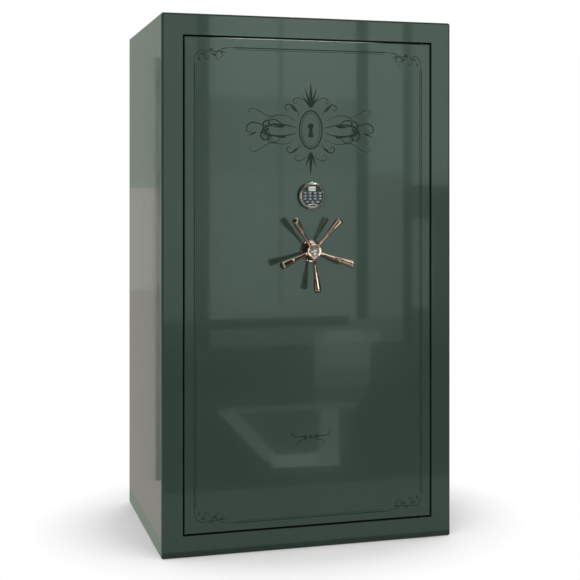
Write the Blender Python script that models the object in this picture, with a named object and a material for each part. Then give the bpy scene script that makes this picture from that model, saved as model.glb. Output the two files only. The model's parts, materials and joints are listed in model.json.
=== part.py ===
"""A tall gun safe: steel cabinet, flush door on concealed pivots, rack-and-pinion boltwork, five-spoke
handle, electronic lock with a round keypad, fire lining and a fitted interior.

Metres, +Z up, front of the safe towards -Y. The origin is the middle of the underside.
"depth" is a distance behind the front face (towards +Y) and "out" one in front of it (towards -Y).
"""

import math

import bmesh
import bpy
from mathutils import Matrix, Vector

# Cabinet
CABINET_W = 1.054
CABINET_D = 0.699
CABINET_H = 1.842
STEEL = 0.003
BEND_R = 0.008
FRAME_W = 0.073  # face of the front frame, all round the door
RETURN_D = 0.050  # how far the frame folds back into the opening
FRONT = -CABINET_D / 2
FIT = 0.0005  # space between pieces that rest on each other
FIREBOARD = 0.038
LINING = 0.004
LINER_FRONT = 0.072  # depth at which the fireboard starts, behind the locking bars
ANCHOR_X = 0.380
ANCHOR_DEPTHS = (0.240, 0.560)
ANCHOR_R = 0.007
CABLE_PLACE = (0.400, 1.340)  # x and z of the mains lead's hole and of the outlet
CABLE_R = 0.012
PAST = 0.010  # how far a cutter reaches past the piece it cuts

SEAL_T = 0.0022
SEAL_DEPTH = (0.036, 0.048)

# Door
GAP = 0.006
OPEN_X = CABINET_W / 2 - FRAME_W
OPEN_LOW = FRAME_W
OPEN_HIGH = CABINET_H - FRAME_W
DOOR_X = OPEN_X - GAP
DOOR_LOW = OPEN_LOW + GAP
DOOR_HIGH = OPEN_HIGH - GAP
DOOR_PLATE = 0.006
DOOR_FLANGE = 0.004
DOOR_PAN_D = 0.032
DOOR_EDGE_R = 0.0035
BOX_INSET = 0.012
BOX_FRONT = DOOR_PAN_D + FIT
BOX_FLOOR = BOX_FRONT + STEEL
BOX_REAR = 0.118
BOX_X = DOOR_X - BOX_INSET
BOX_LOW = DOOR_LOW + BOX_INSET
BOX_HIGH = DOOR_HIGH - BOX_INSET

# Hinge: vertical pivots near the door's right-hand edge
HINGE_X = DOOR_X - 0.026
HINGE_DEPTH = 0.016
PIN_R = 0.006
PIN_HOLE_R = 0.0065
HINGE_ARM_L = 0.120
HINGE_ARM_T = 0.0155
BRACKET_T = 0.014
BRACKET_REACH = (-0.045, 0.028)  # the bracket's ends to either side of its pin
BRACKET_DEPTH = (0.0045, 0.044)
PIN_REACH = 0.026  # how far a pin enters the opening

# Handle, keypad and lock
HANDLE_Z = 1.0315
KEYPAD_Z = 1.2226
SHAFT_R = 0.009
BUSH_R = 0.0125
SHAFT_HOLE_R = 0.013
CABLE_HOLE_R = 0.005
HANDLE_TURN = math.radians(75)
SPOKES = 5
SPOKE_LEAN = math.radians(21.7)
SPOKE_OUT = 0.0236  # where a spoke's axis would cross the shaft's axis
LOCK_BOLT_TRAVEL = 0.0085

# Boltwork
MODULE = 0.003
TEETH = 18
PITCH_R = MODULE * TEETH / 2
PRESSURE = math.radians(20)
BACKLASH = 0.0004
RACK_ADDENDUM = 0.0026
GEAR_ADDENDUM = 0.0026
DEDENDUM = 0.0037
RACK_BODY = 0.018
BAR_TRAVEL = PITCH_R * HANDLE_TURN
BAR_DEPTH = 0.053
BAR_T = 0.006
BAR_TIP_INSET = 0.004  # how far a drawn-back bar ends inside the door's edge
CARRIER_W = 0.045
CARRIER_INSET = BAR_TRAVEL + 0.0035  # room between a carrier and the box wall
TAB_W = 0.140
RACK_T = 0.010
RACK_DEPTH_1 = BAR_DEPTH + BAR_T + FIT
RACK_DEPTH_2 = RACK_DEPTH_1 + RACK_T + FIT
NOTCH_H = 0.012

# Interior
ROOM_X = CABINET_W / 2 - STEEL - FIREBOARD - LINING - 2 * FIT
ROOM_LOW = STEEL + FIREBOARD + LINING + 2 * FIT
ROOM_HIGH = CABINET_H - ROOM_LOW
ROOM_BACK = CABINET_D - STEEL - FIREBOARD - LINING - 2 * FIT
SHELF_T = 0.018
SHELF_FRONT = 0.215
DIVIDER_X = 0.048
DIVIDER_T = 0.016
TOP_SHELF_Z = 1.440
SHELF_HEIGHTS = {"shelf_upper": 0.960, "shelf_lower": 0.500}
RACK_BOARD_Z = (1.050, 1.080)
RACK_BOARD_D = 0.092
NOTCH_R = 0.018
NOTCH_IN = 0.022  # from the board's edge to the centre of a notch's round end
BARREL_PITCH = 0.070


# ---------------------------------------------------------------- materials and placing

def material(name, colour, roughness, metallic=0.0):
    made = bpy.data.materials.new(name)
    made.use_nodes = True
    shader = made.node_tree.nodes["Principled BSDF"]
    shader.inputs["Base Color"].default_value = (*colour, 1.0)
    shader.inputs["Roughness"].default_value = roughness
    shader.inputs["Metallic"].default_value = metallic
    return made


def make_materials():
    return {
        "paint": material("green_gloss_paint", (0.045, 0.090, 0.070), 0.12),
        "board": material("fireboard", (0.72, 0.70, 0.66), 0.90),
        "fabric": material("grey_fabric", (0.34, 0.33, 0.31), 0.95),
        "steel": material("zinc_steel", (0.55, 0.55, 0.54), 0.38, 1.0),
        "hard": material("hardened_steel", (0.20, 0.20, 0.21), 0.45, 1.0),
        "bronze": material("black_chrome", (0.42, 0.31, 0.27), 0.10, 1.0),
        "chrome": material("bright_chrome", (0.80, 0.80, 0.78), 0.08, 1.0),
        "black": material("black_plastic", (0.020, 0.020, 0.022), 0.35),
        "key": material("key_rubber", (0.23, 0.24, 0.28), 0.55),
        "glass": material("display_glass", (0.62, 0.70, 0.62), 0.10),
        "seal": material("seal_strip", (0.030, 0.030, 0.030), 0.80),
        "brass": material("bronze_bush", (0.60, 0.42, 0.18), 0.30, 1.0),
        "light": material("light_diffuser", (0.85, 0.85, 0.82), 0.40),
    }


def clear_scene():
    for thing in list(bpy.data.objects):
        bpy.data.objects.remove(thing, do_unlink=True)


def at_depth(depth):
    """World y of a point this far behind the front face."""
    return FRONT + depth


def add_object(name, mesh_data, location, look, parent=None):
    made = bpy.data.objects.new(name, mesh_data)
    bpy.context.scene.collection.objects.link(made)
    made.location = location
    if look:
        made.data.materials.append(look)
    if parent:
        made.parent = parent
        made.matrix_parent_inverse = Matrix.Translation(-parent.matrix_world.translation)
    return made


def pivot(name, location, parent=None):
    """An empty on a joint's axis, for the moving pieces to hang on."""
    made = bpy.data.objects.new(name, None)
    bpy.context.scene.collection.objects.link(made)
    made.location = location
    if parent:
        made.parent = parent
        made.matrix_parent_inverse = Matrix.Translation(-parent.matrix_world.translation)
    bpy.context.view_layer.update()
    return made


# ---------------------------------------------------------------- shapes

def mesh_from(bm, name):
    bmesh.ops.recalc_face_normals(bm, faces=bm.faces[:])
    data = bpy.data.meshes.new(name)
    bm.to_mesh(data)
    bm.free()
    return data


def block_mesh(size, bevel=0.0, segments=1, edge_test=None):
    """A box about its own centre. edge_test picks the edges that are rounded."""
    bm = bmesh.new()
    bmesh.ops.create_cube(bm, size=1.0)
    bmesh.ops.scale(bm, vec=size, verts=bm.verts[:])
    if bevel:
        edges = [e for e in bm.edges if edge_test is None or edge_test(e)]
        bmesh.ops.bevel(bm, geom=edges, offset=bevel, segments=segments, profile=0.5, affect="EDGES")
    return mesh_from(bm, "block")


def block(name, x, depth, z, look, parent=None, **bevel):
    """A box from its spans in x, depth and z."""
    size = (x[1] - x[0], depth[1] - depth[0], z[1] - z[0])
    centre = (sum(x) / 2, at_depth(sum(depth) / 2), sum(z) / 2)
    return add_object(name, block_mesh(size, **bevel), centre, look, parent)


def lathe_mesh(profile, steps, ring=False):
    """(radius, height) points turned about Z. A ring's profile is a closed loop, any other ends on the axis."""
    bm = bmesh.new()
    rows = []
    for radius, height in profile:
        count = steps if radius > 0 else 1
        angles = [2 * math.pi * i / steps for i in range(count)]
        rows.append([bm.verts.new((radius * math.cos(a), radius * math.sin(a), height)) for a in angles])
    pairs = list(zip(rows, rows[1:]))
    if ring:
        pairs.append((rows[-1], rows[0]))
    for low, high in pairs:
        for i in range(steps):
            j = (i + 1) % steps
            corners = [low[i % len(low)], low[j % len(low)], high[j % len(high)], high[i % len(high)]]
            unique = list(dict.fromkeys(corners))
            if len(unique) > 2:
                bm.faces.new(unique)
    return mesh_from(bm, "turned")


def shade_round(thing, degrees=35):
    thing.data.shade_smooth()
    thing.data.set_sharp_from_angle(angle=math.radians(degrees))
    return thing


def turned(name, profile, place, look, parent=None, steps=32, ring=False):
    """A turned piece whose axis points out of the door. place is (x, z) and heights count as "out"."""
    made = add_object(name, lathe_mesh(profile, steps, ring), (place[0], FRONT, place[1]), look, parent)
    made.rotation_euler = (math.pi / 2, 0, 0)
    return shade_round(made)


def prism_mesh(outline, low, high, axis):
    """A closed outline pushed from low to high along "y" (outline is x, z) or "z" (outline is x, y)."""
    bm = bmesh.new()

    def corner(a, b, level):
        return (a, level, b) if axis == "y" else (a, b, level)

    bottom = [bm.verts.new(corner(a, b, low)) for a, b in outline]
    top = [bm.verts.new(corner(a, b, high)) for a, b in outline]
    bm.faces.new(bottom)
    bm.faces.new(list(reversed(top)))
    for i in range(len(outline)):
        j = (i + 1) % len(outline)
        bm.faces.new([bottom[j], bottom[i], top[i], top[j]])
    return mesh_from(bm, "prism")


def plate(name, outline, depth, look, parent=None):
    """A flat plate parallel to the door: an outline in x and z, between two depths."""
    return add_object(name, prism_mesh(outline, *depth, "y"), (0, FRONT, 0), look, parent)


def arc(centre, radius, start, end, steps):
    """Points on an arc, both ends included, with angles in degrees."""
    angles = [math.radians(start + (end - start) * i / steps) for i in range(steps + 1)]
    return [(centre[0] + radius * math.cos(a), centre[1] + radius * math.sin(a)) for a in angles]


# ---------------------------------------------------------------- booleans

def boolean(target, other, operation):
    other.hide_render = True
    other.display_type = "WIRE"
    step = target.modifiers.new(f"{operation.lower()} {other.name}", "BOOLEAN")
    step.operation = operation
    step.object = other
    step.solver = "EXACT"


def cut(target, *cutters):
    for cutter in cutters:
        boolean(target, cutter, "DIFFERENCE")


def fuse(target, *others):
    for other in others:
        boolean(target, other, "UNION")


def round_cutter(name, radius, place, span, axis, steps=16):
    """A round cutter along "y" (place is x, z and span is depths) or "z" (place is x, y)."""
    low, high = span
    profile = [(0, low), (radius, low), (radius, high), (0, high)]
    made = add_object(name, lathe_mesh(profile, steps), (0, 0, 0), None)
    if axis == "y":
        made.rotation_euler = (-math.pi / 2, 0, 0)
        made.location = (place[0], FRONT, place[1])
    else:
        made.location = (place[0], place[1], 0)
    return made


# ---------------------------------------------------------------- cabinet

def build_cabinet_shell(looks):
    """Folded steel body: five walls, a front frame and its return into the opening."""
    half = CABINET_W / 2
    shell = block("cabinet_shell", (-half, half), (0, CABINET_D), (0, CABINET_H), looks["paint"],
                  bevel=BEND_R, segments=3)
    inner = half - STEEL
    cut(shell, block("cut_cavity", (-inner, inner), (STEEL, CABINET_D - STEEL),
                     (STEEL, CABINET_H - STEEL), None))
    fuse(shell, block("add_return", (-OPEN_X - STEEL, OPEN_X + STEEL), (STEEL / 2, RETURN_D),
                      (OPEN_LOW - STEEL, OPEN_HIGH + STEEL), None))
    cut(shell, block("cut_opening", (-OPEN_X, OPEN_X), (-0.010, RETURN_D + 0.010),
                     (OPEN_LOW, OPEN_HIGH), None))
    for side, pin_z in (("top", OPEN_HIGH), ("bottom", OPEN_LOW)):
        cut(shell, round_cutter(f"cut_pin_{side}", PIN_HOLE_R, (HINGE_X, at_depth(HINGE_DEPTH)),
                                (pin_z - 0.010, pin_z + 0.010), "z"))
    cut(shell, *anchor_cutters("shell", (-0.010, STEEL + 0.010)))
    cut(shell, cable_cutter("shell"))


def anchor_cutters(label, span):
    """The four holes that take the floor anchors."""
    return [round_cutter(f"cut_anchor_{label}_{x:+.2f}_{depth:.2f}", ANCHOR_R, (x, at_depth(depth)), span,
                         "z", steps=12)
            for x in (-ANCHOR_X, ANCHOR_X) for depth in ANCHOR_DEPTHS]


def cable_cutter(label):
    """The hole in the back for the mains lead."""
    span = (ROOM_BACK - PAST, CABINET_D + PAST)
    return round_cutter(f"cut_cable_{label}", CABLE_R, CABLE_PLACE, span, "y", steps=12)


def build_fireboard(looks):
    """Gypsum lining on all five walls, open at the front."""
    outer = CABINET_W / 2 - STEEL - FIT
    low = STEEL + FIT
    board = block("fireboard_liner", (-outer, outer), (LINER_FRONT, CABINET_D - STEEL - FIT),
                  (low, CABINET_H - low), looks["board"])
    inner = outer - FIREBOARD
    cut(board, block("cut_board", (-inner, inner), (0, CABINET_D - STEEL - FIT - FIREBOARD),
                     (low + FIREBOARD, CABINET_H - low - FIREBOARD), None))
    cut(board, *anchor_cutters("board", (-0.010, 0.060)))
    cut(board, cable_cutter("board"))


def build_lining(looks):
    """Fabric-covered panels inside the fireboard, with a lip over its front ends."""
    outer = ROOM_X + LINING
    high = CABINET_H - ROOM_LOW + LINING
    lining = block("interior_lining", (-outer, outer), (LINER_FRONT - 0.002, ROOM_BACK + LINING),
                   (ROOM_LOW - LINING, high), looks["fabric"])
    lip = CABINET_W / 2 - STEEL - FIT
    fuse(lining, block("add_lip", (-lip, lip), (LINER_FRONT - FIT - LINING, LINER_FRONT - FIT),
                       (STEEL + FIT, CABINET_H - STEEL - FIT), None))
    cut(lining, block("cut_room", (-ROOM_X, ROOM_X), (0, ROOM_BACK), (ROOM_LOW, ROOM_HIGH), None))
    cut(lining, *anchor_cutters("lining", (-0.010, 0.060)))
    cut(lining, cable_cutter("lining"))


def build_door_seal(looks):
    """Heat-swelling strip stuck round the return, behind the door plate's edge."""
    seal = block("door_seal", (-OPEN_X + FIT, OPEN_X - FIT), SEAL_DEPTH, (OPEN_LOW + FIT, OPEN_HIGH - FIT),
                 looks["seal"])
    inner = FIT + SEAL_T
    cut(seal, block("cut_seal", (-OPEN_X + inner, OPEN_X - inner), (0, SEAL_DEPTH[1] + PAST),
                    (OPEN_LOW + inner, OPEN_HIGH - inner), None))


def build_hinge_brackets(looks):
    """Blocks behind the frame whose pins reach through the return into the door."""
    for side, sign, edge in (("top", 1, OPEN_HIGH), ("bottom", -1, OPEN_LOW)):
        near = edge + sign * (STEEL + FIT)
        far = near + sign * BRACKET_T
        bracket = block(f"hinge_bracket_{side}", [HINGE_X + reach for reach in BRACKET_REACH], BRACKET_DEPTH,
                        sorted((near, far)), looks["steel"])
        span = sorted((edge - sign * PIN_REACH, far - sign * BRACKET_T / 3))
        fuse(bracket, round_cutter(f"add_pin_{side}", PIN_R, (HINGE_X, at_depth(HINGE_DEPTH)), span, "z"))


# ---------------------------------------------------------------- interior

def build_shelves(looks):
    back = ROOM_BACK - FIT
    divider = (DIVIDER_X - DIVIDER_T / 2, DIVIDER_X + DIVIDER_T / 2)
    block("centre_divider", divider, (SHELF_FRONT - 0.010, back), (ROOM_LOW + FIT, TOP_SHELF_Z - FIT),
          looks["fabric"])
    block("top_shelf", (-ROOM_X + FIT, ROOM_X - FIT), (SHELF_FRONT, back),
          (TOP_SHELF_Z, TOP_SHELF_Z + SHELF_T), looks["fabric"])
    for name, height in SHELF_HEIGHTS.items():
        block(name, (divider[1] + FIT, ROOM_X - FIT), (SHELF_FRONT, back), (height, height + SHELF_T),
              looks["fabric"])


def notch(centre, direction):
    """A round-bottomed notch seen along its row: centre is on the edge, direction points into the board."""
    across = Vector((-direction[1], direction[0]))
    inward = Vector(direction)
    middle = Vector(centre) + inward * NOTCH_IN
    points = [Vector(centre) - across * NOTCH_R]
    for i in range(7):
        angle = math.pi * (1 - i / 6)
        points.append(middle + across * NOTCH_R * math.cos(angle) + inward * NOTCH_R * math.sin(angle))
    points.append(Vector(centre) + across * NOTCH_R)
    return [tuple(p) for p in points]


def build_barrel_rack(looks):
    """L-shaped board along the back and the left wall, notched for rifle barrels."""
    left = -ROOM_X + FIT
    right = DIVIDER_X - DIVIDER_T / 2 - FIT
    back = ROOM_BACK - FIT
    edge_y = back - RACK_BOARD_D
    edge_x = left + RACK_BOARD_D
    front = SHELF_FRONT + 0.020
    outline = [(left, back), (right, back), (right, edge_y)]
    for i in range(5):
        x = right - 0.060 - i * BARREL_PITCH
        outline += notch((x, edge_y), (0, 1))
    outline.append((edge_x, edge_y))
    for i in range(4):
        y = edge_y - 0.055 - i * BARREL_PITCH
        outline += notch((edge_x, y), (-1, 0))
    outline += [(edge_x, front), (left, front)]
    data = prism_mesh(outline, *RACK_BOARD_Z, "z")
    add_object("barrel_rack", data, (0, FRONT, 0), looks["fabric"])


def build_fittings(looks):
    """Mains outlet on the back wall and a light under the ceiling."""
    x, z = CABLE_PLACE
    outlet = block("power_outlet", (x - 0.057, x + 0.057), (ROOM_BACK - 0.030, ROOM_BACK - FIT),
                   (z - 0.035, z + 0.035), looks["black"], bevel=0.003, segments=1)
    for i in (-1, 1):
        socket = (x + i * 0.026 - 0.013, x + i * 0.026 + 0.013)
        cut(outlet, block(f"cut_socket_{i}", socket, (ROOM_BACK - 0.040, ROOM_BACK - 0.024),
                          (z - 0.013, z + 0.013), None))
    block("light_bar", (-0.300, 0.300), (0.150, 0.172), (ROOM_HIGH - FIT - 0.014, ROOM_HIGH - FIT),
          looks["light"], bevel=0.003, segments=1)


# ---------------------------------------------------------------- door

def build_door_plate(looks, door):
    """Outer plate with its edges folded back, rounded at the front."""

    def front_edge(edge):
        return all(v.co.y < 0 for v in edge.verts)

    panel = block("door_plate", (-DOOR_X, DOOR_X), (0, DOOR_PAN_D), (DOOR_LOW, DOOR_HIGH), looks["paint"],
                  door, bevel=DOOR_EDGE_R, segments=3, edge_test=front_edge)
    inner = DOOR_X - DOOR_FLANGE
    cut(panel, block("cut_pan", (-inner, inner), (DOOR_PLATE, 0.050),
                     (DOOR_LOW + DOOR_FLANGE, DOOR_HIGH - DOOR_FLANGE), None))
    cut(panel, *spindle_cutters("plate", (-0.010, 0.020)))
    for side, edge in (("top", DOOR_HIGH), ("bottom", DOOR_LOW)):
        cut(panel, round_cutter(f"cut_door_pin_{side}", PIN_HOLE_R, (HINGE_X, at_depth(HINGE_DEPTH)),
                                (edge - 0.010, edge + 0.010), "z"))


def spindle_cutters(label, span):
    """The holes for the handle's shaft and the keypad's cable."""
    return [round_cutter(f"cut_shaft_{label}", SHAFT_HOLE_R, (0, HANDLE_Z), span, "y"),
            round_cutter(f"cut_lead_{label}", CABLE_HOLE_R, (0, KEYPAD_Z), span, "y", steps=8)]


def build_hinge_arms(looks, door):
    """Blocks inside the door's top and bottom corners, bored for the pivot pins."""
    for side, sign, edge in (("top", -1, DOOR_HIGH), ("bottom", 1, DOOR_LOW)):
        near = edge + sign * (DOOR_FLANGE + FIT)
        span = tuple(sorted((near, near + sign * HINGE_ARM_T)))
        right = DOOR_X - DOOR_FLANGE - FIT
        arm = block(f"hinge_arm_{side}", (right - HINGE_ARM_L, right),
                    (DOOR_PLATE + FIT, DOOR_PAN_D - FIT), span, looks["steel"], door)
        cut(arm, round_cutter(f"cut_arm_{side}", PIN_R + 0.0003, (HINGE_X, at_depth(HINGE_DEPTH)),
                              (span[0] - 0.010, span[1] + 0.010), "z"))


def build_door_fireboard(looks, door):
    inner = DOOR_X - DOOR_FLANGE - FIT
    clear = DOOR_FLANGE + HINGE_ARM_T + 3 * FIT
    board = block("door_fireboard", (-inner, inner), (DOOR_PLATE + FIT, DOOR_PAN_D - FIT),
                  (DOOR_LOW + clear, DOOR_HIGH - clear), looks["board"], door)
    cut(board, *spindle_cutters("door_board", (-0.010, 0.050)))


def bar_tabs():
    """Where the tabs of a side bar (heights) and of a top or bottom bar (x) have their centres."""
    middle = (DOOR_LOW + DOOR_HIGH) / 2
    return {"side": [middle - 0.590, middle, middle + 0.590], "end": [-0.190, 0.190]}


def build_door_box(looks, door):
    """Steel tray behind the fireboard that holds the boltwork, slotted for the locking bars."""
    rim = DOOR_X - FIT
    box = block("door_box", (-rim, rim), (BOX_FRONT, BOX_FLOOR), (DOOR_LOW + FIT, DOOR_HIGH - FIT),
                looks["hard"], door)
    fuse(box, block("add_tray", (-BOX_X, BOX_X), (BOX_FRONT + STEEL / 2, BOX_REAR), (BOX_LOW, BOX_HIGH),
                    None))
    inner = BOX_X - STEEL
    cut(box, block("cut_tray", (-inner, inner), (BOX_FLOOR, BOX_REAR + 0.010),
                   (BOX_LOW + STEEL, BOX_HIGH - STEEL), None))
    half = TAB_W / 2 + 0.0015
    slot_depth = (BAR_DEPTH - 0.0015, BAR_DEPTH + BAR_T + 0.0015)
    for i, z in enumerate(bar_tabs()["side"]):
        for side in (-1, 1):
            x = tuple(sorted((side * (BOX_X - 0.010), side * (BOX_X + 0.005))))
            cut(box, block(f"cut_side_slot_{side}_{i}", x, slot_depth, (z - half, z + half), None))
    for i, x in enumerate(bar_tabs()["end"]):
        for side, edge in (("top", BOX_HIGH), ("bottom", BOX_LOW)):
            cut(box, block(f"cut_{side}_slot_{i}", (x - half, x + half), slot_depth,
                           (edge - 0.006, edge + 0.006), None))
    cut(box, *spindle_cutters("box", (0.020, 0.045)))


def build_door_panel(looks, door):
    """Fabric-covered board over the boltwork, and the pocket organiser on it."""
    edge = 0.008
    block("door_panel", (-BOX_X + edge, BOX_X - edge), (BOX_REAR + FIT, BOX_REAR + 0.0055),
          (BOX_LOW + edge, BOX_HIGH - edge), looks["fabric"], door)
    sheet = (BOX_REAR + 0.006, BOX_REAR + 0.008)
    pockets = block("door_pockets", (-0.390, 0.390), sheet, (0.170, 1.670), looks["fabric"], door)
    rows = ((1.330, 0.250, 4, 0.018), (0.900, 0.330, 3, 0.026), (0.540, 0.260, 3, 0.022),
            (0.200, 0.280, 2, 0.030))
    for row, (low, height, count, bulge) in enumerate(rows):
        width = 0.740 / count
        for i in range(count):
            left = -0.370 + i * width + 0.010
            fuse(pockets, block(f"add_pocket_{row}_{i}", (left, left + width - 0.020),
                                (sheet[0] + 0.001, sheet[1] + bulge), (low, low + height), None))


# ---------------------------------------------------------------- boltwork

def rack_outline(first, last, body_start, body_end, phase):
    """A rack along x whose teeth point to -z, with the pitch line at z = 0. Teeth span first to last."""
    pitch = math.pi * MODULE
    root = DEDENDUM
    points = [(body_end, root), (body_end, root + RACK_BODY), (body_start, root + RACK_BODY),
              (body_start, root)]
    half = pitch / 4 - BACKLASH / 2
    low_half = half - RACK_ADDENDUM * math.tan(PRESSURE)
    high_half = half + root * math.tan(PRESSURE)
    count = int((last - first) / pitch)
    start = math.ceil((first + high_half) / pitch - phase)
    for i in range(start, start + count):
        x = (i + phase) * pitch
        points += [(x - high_half, root), (x - low_half, -RACK_ADDENDUM), (x + low_half, -RACK_ADDENDUM),
                   (x + high_half, root)]
    return points


def turn(points, quarter):
    """Points about the pinion turned by quarter turns."""
    c, s = round(math.cos(quarter * math.pi / 2)), round(math.sin(quarter * math.pi / 2))
    return [(x * c - z * s, x * s + z * c) for x, z in points]


def gear_outline():
    """Involute teeth, centred on the origin, with a tooth on +x."""
    base = PITCH_R * math.cos(PRESSURE)
    tip = PITCH_R + GEAR_ADDENDUM
    root = PITCH_R - DEDENDUM

    def involute(radius):
        angle = math.acos(base / radius)
        return math.tan(angle) - angle

    half = math.pi / (2 * TEETH) - BACKLASH / (2 * PITCH_R)
    flank = [(root, half + involute(PITCH_R))]
    for i in range(5):
        radius = base + (tip - base) * i / 4
        flank.append((radius, half + involute(PITCH_R) - involute(radius)))
    tooth = [(r, -a) for r, a in flank] + [(r, a) for r, a in reversed(flank)]
    points = []
    for i in range(TEETH):
        middle = 2 * math.pi * i / TEETH
        points += [(r * math.cos(middle + a), r * math.sin(middle + a)) for r, a in tooth]
    return points


def build_pinion(looks, handle):
    pinion = plate("drive_pinion", [(x, z + HANDLE_Z) for x, z in gear_outline()],
                   (RACK_DEPTH_1 + FIT, RACK_DEPTH_2 + RACK_T - FIT), looks["steel"], handle)
    cut(pinion, round_cutter("cut_pinion", SHAFT_R + 0.0003, (0, HANDLE_Z), (0.040, 0.100), "y", steps=24))


def bar_outline(tip, tabs, length):
    """A locking bar pointing to -x: a straight carrier with tabs. tip is how far out its tabs end."""
    outer = tip - (CARRIER_INSET + BOX_INSET + STEEL - BAR_TIP_INSET)
    inner = outer - CARRIER_W
    points = [(-inner, -length / 2), (-inner, length / 2), (-outer, length / 2)]
    for centre in sorted(tabs, reverse=True):
        points += [(-outer, centre + TAB_W / 2), (-tip, centre + TAB_W / 2), (-tip, centre - TAB_W / 2),
                   (-outer, centre - TAB_W / 2)]
    points.append((-outer, -length / 2))
    return points


def build_bars(looks, slides):
    """The four locking bars, drawn back: one for each side of the door."""
    middle = (DOOR_LOW + DOOR_HIGH) / 2
    depth = (BAR_DEPTH, BAR_DEPTH + BAR_T)
    side_tip = DOOR_X - BAR_TIP_INSET
    end_tip = (DOOR_HIGH - DOOR_LOW) / 2 - BAR_TIP_INSET
    side_tabs = [z - middle for z in bar_tabs()["side"]]
    end_tabs = bar_tabs()["end"]
    shapes = {
        "left_bar": turn(bar_outline(side_tip, side_tabs, 1.380), 0),
        "right_bar": turn(bar_outline(side_tip, side_tabs, 1.380), 2),
        "top_bar": turn(bar_outline(end_tip, end_tabs, 0.600), 3),
        "bottom_bar": turn(bar_outline(end_tip, end_tabs, 0.600), 1),
    }
    for name, outline in shapes.items():
        placed = [(x, z + middle) for x, z in outline]
        plate(name, placed, depth, looks["steel"], slides[name])


def build_racks(looks, slides):
    """A rack from each bar to the pinion: side racks in front, end racks behind them."""
    side_reach = DOOR_X - BAR_TIP_INSET - 0.060
    first, last = -0.018, BAR_TRAVEL + 0.022
    side = rack_outline(first, last, -side_reach, last + 0.002, 0.0)
    side = [(x, z + PITCH_R) for x, z in side]
    front = (RACK_DEPTH_1, RACK_DEPTH_1 + RACK_T)
    for name, quarter in (("left", 0), ("right", 2)):
        outline = [(x, z + HANDLE_Z) for x, z in turn(side, quarter)]
        plate(f"{name}_rack", outline, front, looks["steel"], slides[f"{name}_bar"])

    rear = (RACK_DEPTH_2, RACK_DEPTH_2 + RACK_T)
    bar_edge = {"top": DOOR_HIGH - HANDLE_Z - 0.060, "bottom": HANDLE_Z - DOOR_LOW - 0.060}
    for name, quarter in (("top", 3), ("bottom", 1)):
        reach = bar_edge[name]
        end = rack_outline(first, last, -reach, last + 0.002, 0.5)
        outline = [(x, z + HANDLE_Z) for x, z in turn([(x, z + PITCH_R) for x, z in end], quarter)]
        rack = plate(f"{name}_rack", outline, rear, looks["steel"], slides[f"{name}_bar"])
        sign = 1 if name == "top" else -1
        foot_x = sorted((sign * 0.006, sign * (PITCH_R + DEDENDUM + RACK_BODY - 0.001)))
        foot_z = sorted((HANDLE_Z + sign * (reach - 0.032), HANDLE_Z + sign * (reach - 0.001)))
        fuse(rack, block(f"add_foot_{name}", foot_x, (RACK_DEPTH_1, RACK_DEPTH_2 + RACK_T - 0.001),
                         foot_z, None))
        if name == "top":
            for i in range(2):
                z = KEYPAD_Z - i * BAR_TRAVEL
                cut(rack, block(f"cut_lock_notch_{i}", (PITCH_R, PITCH_R + DEDENDUM + 0.009),
                                (rear[0] - 0.005, rear[1] + 0.005), (z - NOTCH_H / 2, z + NOTCH_H / 2),
                                None))


# ---------------------------------------------------------------- lock

def build_lock(looks, door, lock_slide):
    """Drill-resisting plate, lock case and the bolt that blocks the top rack."""
    hard_rear = BOX_FLOOR + FIT + 0.006
    shield = block("hard_plate", (-0.080, 0.080), (BOX_FLOOR + FIT, hard_rear), (0.975, 1.290),
                   looks["hard"], door)
    cut(shield, *spindle_cutters("shield", (0.020, 0.060)))

    case_right = PITCH_R - 0.001
    case_rear = RACK_DEPTH_2 + RACK_T + 0.004
    case = block("lock_case", (case_right - 0.088, case_right), (hard_rear + FIT, case_rear),
                 (KEYPAD_Z - 0.031, KEYPAD_Z + 0.031), looks["steel"], door, bevel=0.002, segments=1)
    bolt_depth = (RACK_DEPTH_2 + FIT, RACK_DEPTH_2 + RACK_T - FIT)
    bolt_z = (KEYPAD_Z - 0.004, KEYPAD_Z + 0.004)
    room = 0.0004
    cut(case, block("cut_bolt_way", (case_right - 0.060, case_right + 0.010),
                    (bolt_depth[0] - room, bolt_depth[1] + room), (bolt_z[0] - room, bolt_z[1] + room),
                    None))
    tip = PITCH_R + DEDENDUM - 0.0015
    block("lock_bolt", (tip - 0.050, tip), bolt_depth, bolt_z, looks["brass"], lock_slide)


# ---------------------------------------------------------------- handle

HUB_PROFILE = (
    (0, 0.0360), (SHAFT_R + 0.0003, 0.0360), (SHAFT_R + 0.0003, 0.0008), (0.0365, 0.0008),
    (0.0375, 0.0030), (0.0365, 0.0070), (0.0330, 0.0110), (0.0294, 0.0170), (0.0276, 0.0240),
    (0.0275, 0.0320), (0.0274, 0.0375), (0.0264, 0.0415), (0.0246, 0.0436), (0.0222, 0.0440),
    (0.0142, 0.0440), (0.0142, 0.0415), (0, 0.0415),
)
CAP_PROFILE = (
    (0, 0.0418), (0.0138, 0.0418), (0.0138, 0.0438), (0.0125, 0.0456), (0.0095, 0.0470), (0.0050, 0.0479),
    (0, 0.0482),
)
# (radius, distance along the spoke from the shaft's axis)
SPOKE_PROFILE = (
    (0, 0.0226), (0.0056, 0.0226), (0.0054, 0.0380), (0.0056, 0.0620), (0.0066, 0.0860), (0.0074, 0.0935),
    (0.0092, 0.0950), (0.0096, 0.0975), (0.0090, 0.1000), (0.0104, 0.1200), (0.0119, 0.1400),
    (0.0120, 0.1440), (0.0108, 0.1466), (0.0085, 0.1473), (0, 0.1476),
)


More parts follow.
